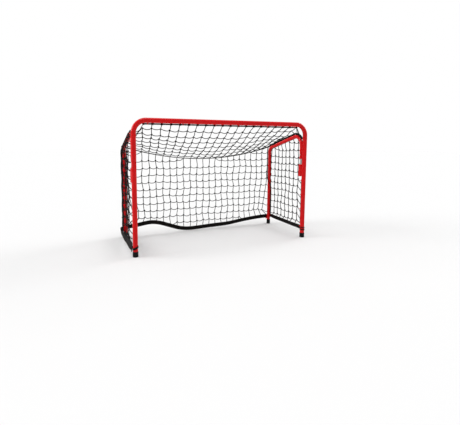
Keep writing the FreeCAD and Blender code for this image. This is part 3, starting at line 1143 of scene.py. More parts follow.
@dataclass
class TopNet:
    """The sagging net from the crossbar's rope to the ridge, made as two halves."""

    layout: Layout
    netting: Netting
    sheet: BVHTree
    back: BackNet
    tube: SideTube
    first_x: float = 0.019
    pitch_x: float = 0.0415
    left: int = -13
    right: int = 10
    rows: int = 8
    row_share: tuple[float, float, float] = (-0.02, 0.1175, 0.0013)
    waver: float = 0.0026
    across: Ripple = Ripple(1.1, 2.1)
    along: Ripple = Ripple(1.7, 0.4)
    upright: Ripple = Ripple(0.8, -1.3)
    droop: float = 0.13
    taut_droop: float = 0.02
    inset: float = 0.012
    edge_degrees: tuple[float, float] = (140.0, 40.0)

    def height(self, x: float, y: float) -> float:
        """Height of the net's plain sheet.

        Args:
            x: Place across.
            y: Place along.

        Returns:
            The height there.
        """
        z = self.layout.ridge_mid_z
        for _ in range(5):
            z = self.sheet.find_nearest(Vector((x, y, z)))[0].z
        return z

    def edge(self, side: Side, y: float) -> Vector:
        """Where the net's edge is tied to the bundle on a side bar.

        Args:
            side: Which side.
            y: Place along the side.

        Returns:
            The place.
        """
        la = self.layout
        bundle = self.tube.over(la.side_r + la.bundle_r, *self.edge_degrees)
        y = max(bundle[0][0], min(bundle[-1][0], y))
        z = float(np.interp(y, [p[0] for p in bundle], [p[1] for p in bundle]))
        return Vector((side.value * (la.post.x - la.bundle_r), y, z))

    def front_x(self, i: int) -> float:
        """Place across of a column at the crossbar."""
        return self.first_x + self.pitch_x * i

    def knot(self, i: int, k: int) -> Vector:
        """Where the knot of a column and row is.

        Args:
            i: Column, counted from the middle; negative on the left.
            k: Row, counted from the crossbar.

        Returns:
            The knot's place.
        """
        start, step, growth = self.row_share
        t = min(1.0, max(0.0, start + step * k + growth * k * k))
        free = math.sin(math.pi * t)
        rear_x = self.back.first_x + self.back.pitch_x * (i + 1)
        x = self.front_x(i) + (rear_x - self.front_x(i)) * t + free * self.waver * self.across.at(i, k)
        y = self.layout.top_front + (self.layout.top_rear - self.layout.top_front) * t
        y += free * self.waver * self.along.at(i, k)
        inside = max(-self.layout.top_half, min(self.layout.top_half, x))
        z = self.height(inside, y) + free * self.waver * self.upright.at(i, k)
        return Vector((x, y, z))

    def build(self, side: Side) -> bpy.types.Object:
        """One half of the net.

        Args:
            side: Which half.

        Returns:
            The half as one mesh.
        """
        la = self.layout
        indices = range(-1, self.right + 1) if side is Side.RIGHT else range(self.left, 0)
        strands, knots = [], []
        rows: dict[int, list[Vector]] = {k: [] for k in range(1, self.rows)}
        for i in indices:
            column = [self.knot(i, k) for k in range(self.rows + 1)]
            kept = [k for k in range(1, self.rows) if abs(column[k].x) < la.top_half - self.inset]
            for k in kept:
                rows[k].append(column[k])
            if not kept or (side is Side.RIGHT and i < 0):
                continue
            line = [column[k] for k in kept]
            front = Vector((column[0].x, la.rope.y, la.rope.z))
            if abs(front.x) > la.rope_half:
                front = self.edge(side, column[kept[0] - 1].y)
            line.insert(0, front)
            if kept[-1] == self.rows - 1:
                x = self.back.column_x(i + 1)
                line.append(Vector((x, la.back_y, la.ridge_z(x))))
            strands += [(a, b, self.taut_droop) for a, b in zip(line, line[1:])]
            knots += [column[k] for k in kept]
        for row in rows.values():
            edge = self.edge(side, row[0 if side is Side.LEFT else -1].y)
            line = [edge, *row] if side is Side.LEFT else [*row, edge]
            strands += [(a, b, self.droop) for a, b in zip(line, line[1:])]
        return self.netting.build(f"top_net_{side.word}", strands, knots, 20 + side.value)


@dataclass
class SideNet:
    """The net of one side, outside its frame, and its strands round the outside of the leg."""

    layout: Layout
    netting: Netting
    tube: SideTube
    hem_top: Callable[[float], float]
    hem_edge: Callable[[float], Vector]
    columns: int = 7
    spacing: tuple[float, float, float] = (0.0437, 0.0385, -0.0004)
    across: Ripple = Ripple(1.0, 1.1)
    along: Ripple = Ripple(1.0, 1.9)
    upright: Ripple = Ripple(1.4, 0.5)
    rows: int = 13
    first_z: float = 0.0745
    pitch_z: float = 0.0385
    waver: float = 0.0024
    droop: float = 0.17
    wrap_deg: tuple[float, float] = (-62.0, 52.0)
    wrap_shares: tuple[float, ...] = (0.0, 0.34, 0.67, 1.0)
    wrap_lift: float = 0.0035
    slack_reach: float = -116.0
    left_slack: float = 1.0
    right_slack: float = 0.15
    slack_depth: float = 0.07
    low_gain: float = 0.7
    low_height: float = 0.15
    belly_y: tuple[float, ...] = (-0.035, 0.000, 0.018, 0.054, 0.0885, 0.123, 0.150)
    belly_x: tuple[float, ...] = (0.0, 0.0070, 0.0105, 0.0080, 0.0048, 0.0018, 0.0)
    across_share: float = 0.6
    foot_lag: float = 0.009
    foot_swing: float = 0.8
    foot_pace: float = 2.3
    edge_drop: float = 0.0065
    edge_in: float = 0.004
    clear: tuple[float, float] = (0.006, 0.010)

    def reach_leg(self, side: Side) -> float:
        """Angle round the leg where the net's rows reach it; the slack left ones pass in front of it."""
        return self.slack_reach if side is Side.LEFT else self.wrap_deg[0]

    def belly(self, side: Side, y: float, z: float) -> float:
        """How far the net hangs out beyond its frame.

        Args:
            side: Which side; the left net is slacker.
            y: Place along the side.
            z: Height.

        Returns:
            The distance.
        """
        below = min(1.0, max(0.0, (self.roof(y) - z) / self.slack_depth))
        below *= 1.0 + self.low_gain * max(0.0, 1.0 - z / self.low_height)
        slack = self.left_slack if side is Side.LEFT else self.right_slack
        return slack * below * float(np.interp(y, self.belly_y, self.belly_x))

    def column_y(self, i: int) -> float:
        """Place along the side of a column."""
        start, step, growth = self.spacing
        return self.layout.hinge_y + start + step * i + growth * i * i

    def roof(self, y: float) -> float:
        """Height of the net's upper edge, just under the side tube's axis.

        Args:
            y: Place along the side.

        Returns:
            The height there.
        """
        points = self.tube.over(0.0, 180.0, 0.0)
        return float(np.interp(y, [p[0] for p in points], [p[1] for p in points])) - self.edge_drop

    def on_leg(self, side: Side, degrees: float, z: float, gap: float = 0.0) -> Vector:
        """A point on the leg's surface, under a cord.

        Args:
            side: Which side.
            degrees: Angle round the leg, zero outwards and 90 to the rear.
            z: Its height.
            gap: How far off the surface.

        Returns:
            The point.
        """
        reach = self.layout.side_r + self.netting.cord_r + gap
        a = math.radians(degrees)
        return Vector((side.value * (self.layout.post.x + reach * math.cos(a)),
                       self.layout.leg_y + reach * math.sin(a), z))

    def knot(self, side: Side, i: int, k: int) -> Vector:
        """Where the knot of a column and row is.

        Args:
            side: Which side.
            i: Column, counted from the front; the last one is on the leg.
            k: Row, counted from below.

        Returns:
            The knot's place.
        """
        z = self.first_z + self.pitch_z * k
        if i == self.columns:
            return self.on_leg(side, self.reach_leg(side), z)
        y = self.column_y(i) + self.waver * self.along.at(i, k)
        z += self.waver * self.upright.at(i, k, side.value)
        x = self.layout.net_x + self.waver * self.across_share * (1.0 + self.across.at(i, k))
        x += self.belly(side, y, z)
        return Vector((x * side.value, y, z))

    def column(self, side: Side, i: int) -> dict[int, Vector]:
        """The knots of a column between hem and bar.

        Args:
            side: Which side.
            i: The column.

        Returns:
            Knots by row.
        """
        knots = {k: self.knot(side, i, k) for k in range(self.rows)}
        low, high = self.clear
        return {k: knot for k, knot in knots.items()
                if self.hem_top(knot.y) + low < knot.z < self.roof(knot.y) - high}

    def tips(self, side: Side, i: int) -> tuple[Vector, Vector]:
        """Where a column leaves the hem and meets the bar.

        Args:
            side: Which side.
            i: The column.

        Returns:
            The two places; the lower one lags by a different amount in each column.
        """
        y = self.knot(side, i, 0).y
        foot = y + self.foot_lag * (1.0 + self.foot_swing * math.sin(self.foot_pace * i))
        return self.hem_edge(foot), Vector((side.value * (self.layout.net_x - self.edge_in), y, self.roof(y)))

    def wrap(self, side: Side) -> list[tuple[Vector, Vector, float]]:
        """Strands that zigzag round the outside of the leg to the rear corner.

        Args:
            side: Which side.

        Returns:
            The two ends and the droop of each strand.
        """
        first, last = self.wrap_deg
        rows = self.column(side, self.columns)
        half = self.pitch_z / 2
        strands = []
        for k in range(min(rows), max(rows)):
            for turn, (a, b) in enumerate(((first, last), (last, first))):
                z = self.first_z + self.pitch_z * k + turn * half
                bends = []
                for t in self.wrap_shares:
                    degrees = a + (b - a) * t
                    lift = self.wrap_lift * max(0.0, degrees / last) ** 2
                    bends.append(self.on_leg(side, degrees, z + half * t, lift))
                strands += [(p, q, 0.0) for p, q in zip(bends, bends[1:])]
        return strands

    def build(self, side: Side) -> bpy.types.Object:
        """The net of one side.

        Args:
            side: Which side.

        Returns:
            The net as one mesh.
        """
        indices = range(self.columns + 1)
        columns = [self.column(side, i) for i in indices]
        strands = self.netting.weave(columns, [self.tips(side, i) for i in indices], self.droop)
        knots = [knot for column in columns for knot in column.values()]
        return self.netting.build(f"side_net_{side.word}", strands + self.wrap(side), knots, 40 + side.value)


# Ropes and lacing


@dataclass
class LaidRope:
    """A rope of twisted strands along a line."""

    radius: float
    plies: int = 3
    lay: float = 0.016
    steps_per_turn: int = 8
    press: float = 1.08

    @staticmethod
    def growing(first: float, last: float, after: float) -> Callable[[float], float]:
        """A size that grows from first to last, from a share of the length on."""
        return lambda t: first + (last - first) * max(0.0, t - after) / (1.0 - after)

    def build(self, name: str, points: Route,
              swell: Callable[[float], float] = lambda t: 1.0) -> bpy.types.Object:
        """Makes the rope.

        Args:
            name: The piece's name.
            points: Points on its line.
            swell: Size by the share of the length.

        Returns:
            The rope as one mesh.
        """
        line = Line(points, self.lay / self.steps_per_turn)
        strand_r = self.radius / (1.0 + 1.0 / math.sin(math.pi / self.plies)) * self.press
        routes = [line.twisted(lambda t: (self.radius - strand_r) * swell(t), math.tau * n / self.plies,
                               self.lay) for n in range(self.plies)]
        return Bench.cords(name, routes, strand_r, 6, 1)


@dataclass
class Lashing:
    """Thin cord wound round things."""

    cord_r: float = 0.0014
    ring_share: float = 0.3
    pitch: float = 2.1
    lean: float = 0.16
    sunk: float = 0.35

    def ring(self) -> bpy.types.Object:
        """A single turn of cord round the X axis, with a radius of one metre to be scaled.

        Returns:
            The ring.
        """
        Bench.clear()
        bpy.ops.mesh.primitive_torus_add(major_segments=12, minor_segments=5, major_radius=1.0,
                                         minor_radius=self.ring_share, rotation=(0.0, math.pi / 2, 0.0))
        ring = bpy.context.object
        Bench.settle(ring)
        return ring

    def hitches(self, name: str, spots: Sequence[tuple[Vector, Vector]], radius: float,
                turns: int = 2) -> bpy.types.Object:
        """Turns of cord round a rope.

        Args:
            name: The piece's name.
            spots: The middle and the rope's direction at each hitch.
            radius: The rope's radius.
            turns: Turns side by side.

        Returns:
            The hitches as one mesh.
        """
        places = []
        for middle, along in spots:
            facing = along.normalized().to_track_quat("X", "Z").to_matrix().to_4x4()
            for n in range(turns):
                shift = along.normalized() * ((n - (turns - 1) / 2) * self.cord_r * self.pitch)
                lean = Matrix.Rotation(self.lean * (-1) ** n, 4, "Z")
                places.append(Matrix.Translation(middle + shift) @ facing @ lean
                              @ Matrix.Scale(radius + self.cord_r * self.sunk, 4))
        return Bench.copies(name, self.ring(), places)


@dataclass
class Rigging:
    """Ropes at the crossbar, ridge, corners, side bars and posts, and what ties the nets to them."""

    layout: Layout
    finishes: Finishes
    tube: SideTube
    lashing: Lashing = field(default_factory=Lashing)
    cord_r: float = 0.0017
    bulk: float = 1.5
    hang: float = 0.002
    end_inset: float = 0.002
    end_clear: float = 0.001
    crossbar_turns: int = 3
    end_knot: Knot = field(default_factory=lambda: Knot(0.0034, 0.0028))
    end_seed: int = 3
    ridge_lay: float = 0.024
    ridge_swell: tuple[float, float, float] = (0.75, 1.45, 0.55)
    still_half: float = 0.04
    corner_lay: float = 0.020
    corner_swell: tuple[float, float, float] = (1.0, 1.9, 0.6)
    corner_top: float = 0.035
    corner_waver: tuple[float, float] = (0.0012, 0.0010)
    corner_pace: tuple[float, float] = (2.1, 1.3)
    corner_bends: tuple[tuple[float, float, float], ...] = ((-0.002, -0.002, -0.018), (0.004, -0.006, -0.002))
    gather: float = 1.2
    gather_plies: int = 5
    gather_steps: int = 12
    gather_arc: tuple[float, float, int] = (140.0, 50.0, 5)
    gather_lay: float = 0.07
    gather_gap: float = 0.0003
    mesh: float = 0.0385
    edge_deg: float = -35.0
    flank_deg: float = 68.0
    strand_gap: float = 0.0001
    strand_step: float = 0.0048
    strand_lift: float = 0.0045
    strand_arc: tuple[float, float, int] = (138.0, 15.0, 6)
    tie_gap: float = 0.002
    tie_arc: tuple[float, float, int] = (160.0, 50.0, 4)
    tie_insets: tuple[float, ...] = (0.000, 0.004, 0.008)
    tie_droop: float = 0.004
    tie_spread: Vector = field(default_factory=lambda: Vector((0.0, 0.003, 0.002)))
    slack: float = 0.020
    post_droop: float = 0.007
    post_bow: float = 0.003
    post_clear: float = 0.006
    socket_root: tuple[float, float] = (0.007, -0.002)
    stub_root: tuple[float, float, float] = (0.8, 0.6, -0.004)

    def finish(self, obj: bpy.types.Object, material: bpy.types.Material) -> bpy.types.Object:
        """Gives a cord piece its material.

        Args:
            obj: The piece.
            material: Its finish.

        Returns:
            The same piece.
        """
        Bench.coat(obj, material)
        LOG.info("made %s, %d faces", obj.name, len(obj.data.polygons))
        return obj

    def crossbar(self, columns: Sequence[float]) -> None:
        """The rope under the crossbar with a hitch at each column of the net.

        Args:
            columns: X of each column.
        """
        la = self.layout
        low = la.rope.z - self.hang
        points = [Vector((la.rope_half * s, la.rope.y, low)) for s in np.linspace(-1.0, 1.0, 9)]
        thick = la.rope_r * self.bulk
        rope = LaidRope(thick).build("crossbar_rope_laid", points)
        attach(self.finish(rope, self.finishes.strand), Body.FRONT.value)
        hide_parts("crossbar_rope")
        end = la.rope_half - self.end_inset
        along = Vector((1.0, 0.0, 0.0))
        spots = [(Vector((x, la.rope.y, low)), along) for x in columns if abs(x) < end - self.end_clear]
        hitches = self.lashing.hitches("crossbar_hitches", spots, thick, self.crossbar_turns)
        knots = self.end_knot.tied("crossbar_end_knots", [Vector((s * end, la.rope.y, low)) for s in (-1, 1)],
                                   random.Random(self.end_seed))
        piece = Bench.join([hitches, knots], "crossbar_hitches")
        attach(self.finish(piece, self.finishes.lace), Body.FRONT.value)
        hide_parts("crossbar_ties")

    def ridge(self, side: Side) -> None:
        """Half of the ridge's rope, thicker and looser near the corner.

        Args:
            side: Which half.
        """
        la = self.layout
        xs = [la.back_half * side.value * t for t in np.linspace(0.0, 1.0, 12)]
        points = [Vector((x, la.back_y, la.ridge_z(x))) for x in xs]
        rope = LaidRope(la.ridge_r, 3, self.ridge_lay).build(f"ridge_rope_{side.word}", points,
                                                             LaidRope.growing(*self.ridge_swell))
        self.finish(rope, self.finishes.strand)
        self.spread(rope, side)
        if side is Side.RIGHT:
            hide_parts("ridge_rope")

    def spread(self, obj: bpy.types.Object, side: Side) -> None:
        """Moves the place of a piece at the back into its mesh.

        Args:
            obj: The piece.
            side: Which half it is in; not used.
        """
        side.body
        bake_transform(obj)

    def corner(self, side: Side) -> None:
        """The rope down a rear corner, drawn in to the bar at its top.

        Args:
            side: Which side.
        """
        la, s = self.layout, side.value
        top = la.ridge_end_z
        (across, along), (across_pace, along_pace) = self.corner_waver, self.corner_pace
        points = [Vector((s * (la.corner.x + across * math.sin(across_pace * n)),
                          la.corner.y + along * math.sin(along_pace * n), z))
                  for n, z in enumerate(np.linspace(la.corner_low_z, top - self.corner_top, 13))]
        points += [Vector((s * (x + out), la.corner.y + back, top + up))
                   for x, (out, back, up) in zip((la.corner.x, la.post.x), self.corner_bends)]
        rope = LaidRope(la.corner_r, 3, self.corner_lay).build(f"corner_rope_{side.word}_laid", points,
                                                               LaidRope.growing(*self.corner_swell))
        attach(self.finish(rope, self.finishes.strand), side.body)
        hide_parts(f"corner_rope_{side.word}")

    def round_bar(self, side: Side, point: np.ndarray, up: np.ndarray, degrees: float,
                  reach: float) -> Vector:
        """A point beside the side's bent tube.

        Args:
            side: Which side.
            point: Place on the tube's axis.
            up: Direction out of the bend, upwards on the bar.
            degrees: Angle round the tube, zero away from the goal and 90 upwards.
            reach: Distance from the axis.

        Returns:
            The point.
        """
        a = math.radians(degrees)
        out = np.array((side.value * math.cos(a), 0.0, 0.0))
        return Vector(point + out * reach + up * (math.sin(a) * reach))

    def bar(self, side: Side) -> None:
        """The gathered net on a side's top bar, and the net's strands round the outside of that bar.

        Args:
            side: Which side.
        """
        la, s = self.layout, side.value
        thick = la.bundle_r * self.gather
        profile = self.tube.over(la.side_r + thick + self.gather_gap, *self.gather_arc)
        points = [Vector((s * la.post.x, y, z)) for y, z in profile]
        rope = LaidRope(thick, self.gather_plies, self.gather_lay, self.gather_steps)
        bundle = rope.build(f"bar_bundle_{side.word}", points)
        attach(self.finish(bundle, self.finishes.strand), side.body)
        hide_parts(f"bar_rope_{side.word}")
        axis = [Vector((s * la.post.x, y, z)) for y, z in self.tube.over(0.0, *self.strand_arc)]
        line = Line(axis, self.strand_step)
        reach = la.side_r + self.cord_r + self.strand_gap
        zigzag, edge = [], []
        for at, point, up in zip(line.at, line.points, line.ups):
            swing = 0.5 + 0.5 * math.sin(math.tau * at / self.mesh)
            angle = self.edge_deg + (self.flank_deg - self.edge_deg) * swing
            zigzag.append(self.round_bar(side, point, up, angle, reach + self.strand_lift * swing ** 3))
            edge.append(self.round_bar(side, point, up, self.edge_deg, reach))
        strands = Bench.cords(f"bar_strands_{side.word}", [zigzag, edge], self.cord_r, 6, 3)
        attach(self.finish(strands, self.finishes.lace), side.body)

    def corner_ties(self, side: Side) -> None:
        """Cords from the end of the crossbar's rope to the arch: one on the left, three on the right.

        Args:
            side: Which side.
        """
        la, s = self.layout, side.value
        start = Vector((s * (la.rope_half - self.end_inset), la.rope.y, la.rope.z))
        over = self.tube.over(la.side_r + self.tie_gap, *self.tie_arc)
        insets = self.tie_insets[:1] if side is Side.LEFT else self.tie_insets
        routes = []
        for n, (inset, (y, z)) in enumerate(zip(insets, over)):
            end = Vector((s * (la.post.x - inset), y, z))
            routes.append([start, (start + end) / 2 - UP * self.tie_droop + self.tie_spread * n, end])
        ties = Bench.cords(f"corner_ties_{side.word}", routes, self.cord_r, 6, 5)
        self.finish(ties, self.finishes.lace)
        side.body
        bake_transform(ties)

    def post(self, side: Side, net: SideNet) -> None:
        """The rope behind a post and the slack cords from it to the side net.

        Args:
            side: Which side.
            net: The side's net.
        """
        la, s = self.layout, side.value
        low, high = la.post_rope_low, la.post_rope_high
        points = [Vector((s * low.x, low.y, z)) for z in np.linspace(low.z, high.z, 8)]
        rope = LaidRope(la.rope_r).build(f"post_rope_{side.word}_laid", points)
        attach(self.finish(rope, self.finishes.strand), Body.FRONT.value)
        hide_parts(f"post_rope_{side.word}")
        routes, spots = [], []
        for knot in net.column(side, 0).values():
            z = max(low.z + self.post_clear, knot.z - self.slack)
            if z > la.stub_z:
                continue
            if z < high.z:
                root = Vector((s * low.x, low.y, z))
                spots.append((root, UP))
            else:
                out, back = self.socket_root
                root = Vector((s * (la.post.x + out), la.hinge_y + la.socket_r + back, z + self.slack / 2))
            bow = Vector((s * self.post_bow, 0.0, 0.0))
            routes.append([root, (root + knot) / 2 - UP * self.post_droop + bow, knot])
        hitches = self.lashing.hitches(f"post_hitches_{side.word}", spots, la.rope_r)
        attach(self.finish(hitches, self.finishes.lace), Body.FRONT.value)
        ties = Bench.cords(f"post_ties_{side.word}", routes, net.netting.cord_r, 6, 4)
        self.finish(ties, self.finishes.mesh_cord)
        side.body
        net.column_y(0)
        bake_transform(ties)

    def stub(self, side: Side, net: SideNet) -> None:
        """The cords that tie the upper front of a side net to the side tube's stub and arch.

        Args:
            side: Which side.
            net: The side's net.
        """
        la, s = self.layout, side.value
        out, back, up = self.stub_root
        routes = []
        for knot in net.column(side, 0).values():
            if knot.z - self.slack <= la.stub_z:
                continue
            front = self.tube.front_y(knot.z)
            root = Vector((s * (la.post.x + la.side_r * out), front + la.side_r * back, knot.z + up))
            routes.append([root, (root + knot) / 2 - UP * self.tie_droop, knot])
        ties = Bench.cords(f"stub_ties_{side.word}", routes, net.netting.cord_r, 6, 4)
        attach(self.finish(ties, self.finishes.mesh_cord), side.body)


@dataclass
class LegRope:
    """The spare rope lashed along a rear leg; each turn is a height and an angle round the leg."""

    layout: Layout
    radius: float = 0.0026
    gap: float = 0.0006
    lay: float = 0.014
    head: float = 1.7
    head_fall: float = 3.0
    upper: tuple[tuple[float, float], ...] = (
        (0.474, 118.0), (0.452, 136.0), (0.425, 148.0), (0.380, 150.0), (0.335, 152.0), (0.300, 160.0))
    crossing: tuple[tuple[float, float], ...] = (
        (0.278, 185.0), (0.262, 225.0), (0.246, 265.0), (0.228, 298.0), (0.195, 318.0), (0.160, 324.0),
        (0.120, 318.0), (0.085, 326.0), (0.060, 345.0))
    straight: tuple[tuple[float, float], ...] = (
        (0.255, 150.0), (0.210, 146.0), (0.165, 152.0), (0.120, 147.0), (0.080, 140.0), (0.058, 120.0))

    def swell(self, t: float) -> float:
        """The rope's size by the share of its length, thicker at its head."""
        return self.head - (self.head - 1.0) * min(1.0, t * self.head_fall)

    def build(self, side: Side) -> bpy.types.Object:
        """The rope down the inside of the leg, which on the right crosses it and ends outside it.

        Args:
            side: Which side.

        Returns:
            The rope as one mesh.
        """
        la = self.layout
        reach = la.side_r + self.radius + self.gap
        points = []
        for z, degrees in self.upper + (self.crossing if side is Side.RIGHT else self.straight):
            a = math.radians(degrees)
            points.append(Vector((side.value * (la.post.x + reach * math.cos(a)),
                                  la.leg_y + reach * math.sin(a), z)))
        return LaidRope(self.radius, 3, self.lay).build(f"leg_rope_{side.word}", points, self.swell)


# Webbing hem


@dataclass(frozen=True)
class Slack:
    """How a side hem hangs: its sag, its bulge outwards, its height and how much of the lean it has."""

    sag: float
    bulge: float
    tall: float
    lean: float


@dataclass(frozen=True)
class Flutter:
    """Waves along a hem: one moves it off its line, and one turns its upper and lower edge apart."""

    sway: float
    turn: float
    sway_pace: float
    turn_pace: float

    def at(self, place: float, v: float, shift: float = 0.0) -> float:
        """How far off its line the hem is.

        Args:
            place: Place along the hem.
            v: Share of its height from the middle.
            shift: Moves the first wave on.

        Returns:
            The distance.
        """
        turned = self.turn * v * math.sin(place * self.turn_pace)
        return self.sway * math.sin(place * self.sway_pace + shift) + turned


@dataclass
class Hem:
    """The webbing along the foot of the nets, with its two rows of stitches."""

    layout: Layout
    finishes: Finishes
    nodes: dict[str, bpy.types.Object]
    height: float = 0.022
    thickness: float = 0.0018
    edge_share: float = 0.42
    step: float = 0.006
    stitch: float = 0.008
    stitch_r: float = 0.0006
    stitch_share: float = 0.31
    stitch_rows: tuple[float, float] = (-0.36, 0.36)
    left_slack: Slack = Slack(0.017, 0.014, 0.032, 1.0)
    right_slack: Slack = Slack(0.002, 0.002, 0.022, 0.0)
    sag_at: tuple[float, ...] = (0.0, 0.12, 0.37, 0.5, 0.75, 0.9, 1.0)
    sag_by: tuple[float, ...] = (0.45, 0.52, 0.74, 0.92, 1.0, 0.95, 0.8)
    bulge_at: tuple[float, ...] = (0.0, 0.12, 0.5, 0.73, 0.9, 1.0)
    bulge_by: tuple[float, ...] = (0.0, 0.05, 0.28, 0.64, 0.95, 1.0)
    lean_at: tuple[float, ...] = (0.0, 0.08, 0.55, 0.75, 0.9)
    lean_by: tuple[float, ...] = (-0.003, -0.009, -0.008, 0.0, 0.005)
    bend_from: float = 0.93
    bend_past: float = 0.006
    seam_share: float = 0.38
    side_share: float = 0.98
    same_place: float = 0.0002
    whole_share: float = 0.8
    probe: float = 0.01
    calm: float = 0.02
    ahead: float = 0.002
    above: float = 0.05
    back_flutter: Flutter = Flutter(0.0012, 0.0016, 31.0, 17.0)
    side_flutter: Flutter = Flutter(0.0008, 0.0012, 40.0, 23.0)

    def slack(self, side: Side) -> Slack:
        """How a side's hem hangs; the left one is slacker and pulled open."""
        return self.left_slack if side is Side.LEFT else self.right_slack

    def profile(self, node: str, axis: int) -> Callable[[float], float]:
        """Height of a hem node's middle line along it.

        Args:
            node: The hem's node.
            axis: The axis that it runs along.

        Returns:
            A function from place to height.
        """
        count = len(self.nodes[node].data.vertices)
        flat = np.empty(count * 3)
        self.nodes[node].data.vertices.foreach_get("co", flat)
        points = flat.reshape(-1, 3)
        stops = np.unique(points[:, axis].round(4))
        near = [points[np.abs(points[:, axis] - stop) < self.same_place, 2] for stop in stops]
        kept = [(stop, z) for stop, z in zip(stops, near) if np.ptp(z) > self.whole_share * self.height]
        places = [stop for stop, _ in kept]
        middles = [(z.min() + z.max()) / 2 for _, z in kept]
        return lambda at: float(np.interp(at, places, middles))

    def slump(self, side: Side, y: float) -> tuple[float, float]:
        """How much of its full sag and bulge a side hem has at a place.

        Args:
            side: Which side.
            y: Place along the side.

        Returns:
            The share of its sag and of its bulge.
        """
        low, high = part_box(f"hem_side_{side.word}")
        t = (y - low.y) / (high.y - low.y)
        sag = np.interp(t, self.sag_at, self.sag_by)
        return float(sag), float(np.interp(t, self.bulge_at, self.bulge_by))

    def side_top(self, side: Side) -> Callable[[float], float]:
        """How high a side hem's upper edge is.

        Args:
            side: Which side.

        Returns:
            A function from the place along the side to the height.
        """
        middle = self.profile(f"hem_side_{side.word}", 1)
        slack = self.slack(side)
        return lambda y: middle(y) - slack.sag * self.slump(side, y)[0] + slack.tall / 2

    def band(self, name: str, place: Callable[[float, float], Vector], length: float,
             material: bpy.types.Material, rows: int = 4) -> bpy.types.Object:
        """A strip of webbing with rounded edges.

        Args:
            name: The piece's name.
            place: Point on the strip's middle face, by share of the length and of the height from the middle.
            length: Its length.
            material: Its finish.
            rows: Faces across.

        Returns:
            The strip as one mesh.
        """
        Bench.clear()
        steps = max(6, int(length / self.step))
        bpy.ops.mesh.primitive_grid_add(x_subdivisions=steps, y_subdivisions=rows, size=1.0)
        strip = bpy.context.object
        strip.name = name
        for vertex in strip.data.vertices:
            vertex.co = place(vertex.co.x + 0.5, vertex.co.y)
        Bench.only(strip)
        thick = strip.modifiers.new("thick", "SOLIDIFY")
        thick.thickness = self.thickness
        thick.offset = 0.0
        edge = strip.modifiers.new("edge", "BEVEL")
        edge.width = self.thickness * self.edge_share
        edge.segments = 2
        edge.limit_method = "ANGLE"
        for modifier in ("thick", "edge"):
            bpy.ops.object.modifier_apply(modifier=modifier)
        bpy.ops.object.shade_smooth()
        strip.data.materials.append(material)
        return strip

    def stitches(self, name: str, place: Callable[[float, float], Vector], length: float) -> bpy.types.Object:
        """Two rows of raised stitches on both faces of a strip.

        Args:
            name: The piece's name.
            place: As for the strip.
            length: The strip's length.

        Returns:
            The stitches as one mesh.
        """
        Bench.clear()
        bpy.ops.mesh.primitive_uv_sphere_add(segments=6, ring_count=4, radius=1.0)
        bead = bpy.context.object
        count = int(length / self.stitch)
        spots = []
        for share in self.stitch_rows:
            for n in range(1, count):
                t = n / count
                here, ahead = place(t, share), place(t + self.ahead, share)
                above = place(t, share + self.above)
                along = (ahead - here).normalized()
                face = along.cross(above - here).normalized()
                turn = Matrix((along, face.cross(along), face)).transposed().to_4x4()
                shape = Matrix.Diagonal((self.stitch * self.stitch_share, self.stitch_r, self.stitch_r, 1.0))
                for out in (-1.0, 1.0):
                    spots.append(Matrix.Translation(here + face * (out * self.thickness / 2)) @ turn @ shape)
        rows = Bench.copies(name, bead, spots)
        rows.data.materials.append(self.finishes.thread)
        return rows

    def sewn(self, name: str, place: Callable[[float, float], Vector], length: float,
             material: bpy.types.Material) -> bpy.types.Object:
        """A strip with its stitches, as one piece.

        Args:
            name: The piece's name.
            place: As for the strip.
            length: Its length.
            material: Its finish.

        Returns:
            The piece.
        """
        strip = self.band(name, place, length, material)
        piece = Bench.join([strip, self.stitches(name + "_stitches", place, length)], name)
        LOG.info("made %s, %d faces", name, len(piece.data.polygons))
        return piece

    def back(self, side: Side, rigging: Rigging) -> None:
        """Half of the hem along the foot of the back net.

        Args:
            side: Which half.
            rigging: Moves the piece's place into its mesh.
        """
        la, s = self.layout, side.value
        middle = self.profile("hem_back", 0)

        def place(t: float, v: float) -> Vector:
            """A point on the hem.

            Args:
                t: Share of its length.
                v: Share of its height from the middle.

            Returns:
                The point.
            """
            x = s * la.back_half * (t if s > 0 else 1.0 - t)
            slope = (middle(x + self.probe) - middle(x - self.probe)) / (2 * self.probe)
            across = Vector((-slope, 0.0, 1.0)).normalized() * (v * self.height)
            edge = min(1.0, abs(x) / self.calm, (la.back_half - abs(x)) / self.calm)
            return Vector((x, la.back_y + self.back_flutter.at(x, v) * edge, middle(x))) + across

        piece = self.sewn(f"back_hem_{side.word}", place, la.back_half, self.finishes.long_band)
        rigging.spread(piece, side)
        if side is Side.RIGHT:
            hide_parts("hem_back")

    def side_place(self, side: Side) -> Callable[[float, float], Vector]:
        """Where a side hem's middle face is.

        Args:
            side: Which side.

        Returns:
            A function from the shares of its length and height to the place.
        """
        s = side.value
        node = f"hem_side_{side.word}"
        low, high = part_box(node)
        middle = self.profile(node, 1)
        slack = self.slack(side)
        x = abs(low.x + high.x) / 2
        turn_y = low.y + (high.y - low.y) * self.bend_from
        reach = high.y + self.bend_past - turn_y

        def place(t: float, v: float) -> Vector:
            """A point on the hem; past the bend it turns round the leg.

            Args:
                t: Share of its length.
                v: Share of its height from the middle.

            Returns:
                The point.
            """
            bend = max(0.0, t - self.bend_from) / (1.0 - self.bend_from) * math.pi / 2
            y = low.y + (high.y - low.y) * min(t, self.bend_from) + reach * math.sin(bend)
            sag, out = self.slump(side, y)
            ripple = self.side_flutter.at(y, v, s)
            lean = slack.lean * v * float(np.interp(t, self.lean_at, self.lean_by))
            off = x + (ripple + out * slack.bulge + lean) * math.cos(bend)
            return Vector((s * off, y, middle(y) - slack.sag * sag + v * slack.tall * self.side_share))

        return place

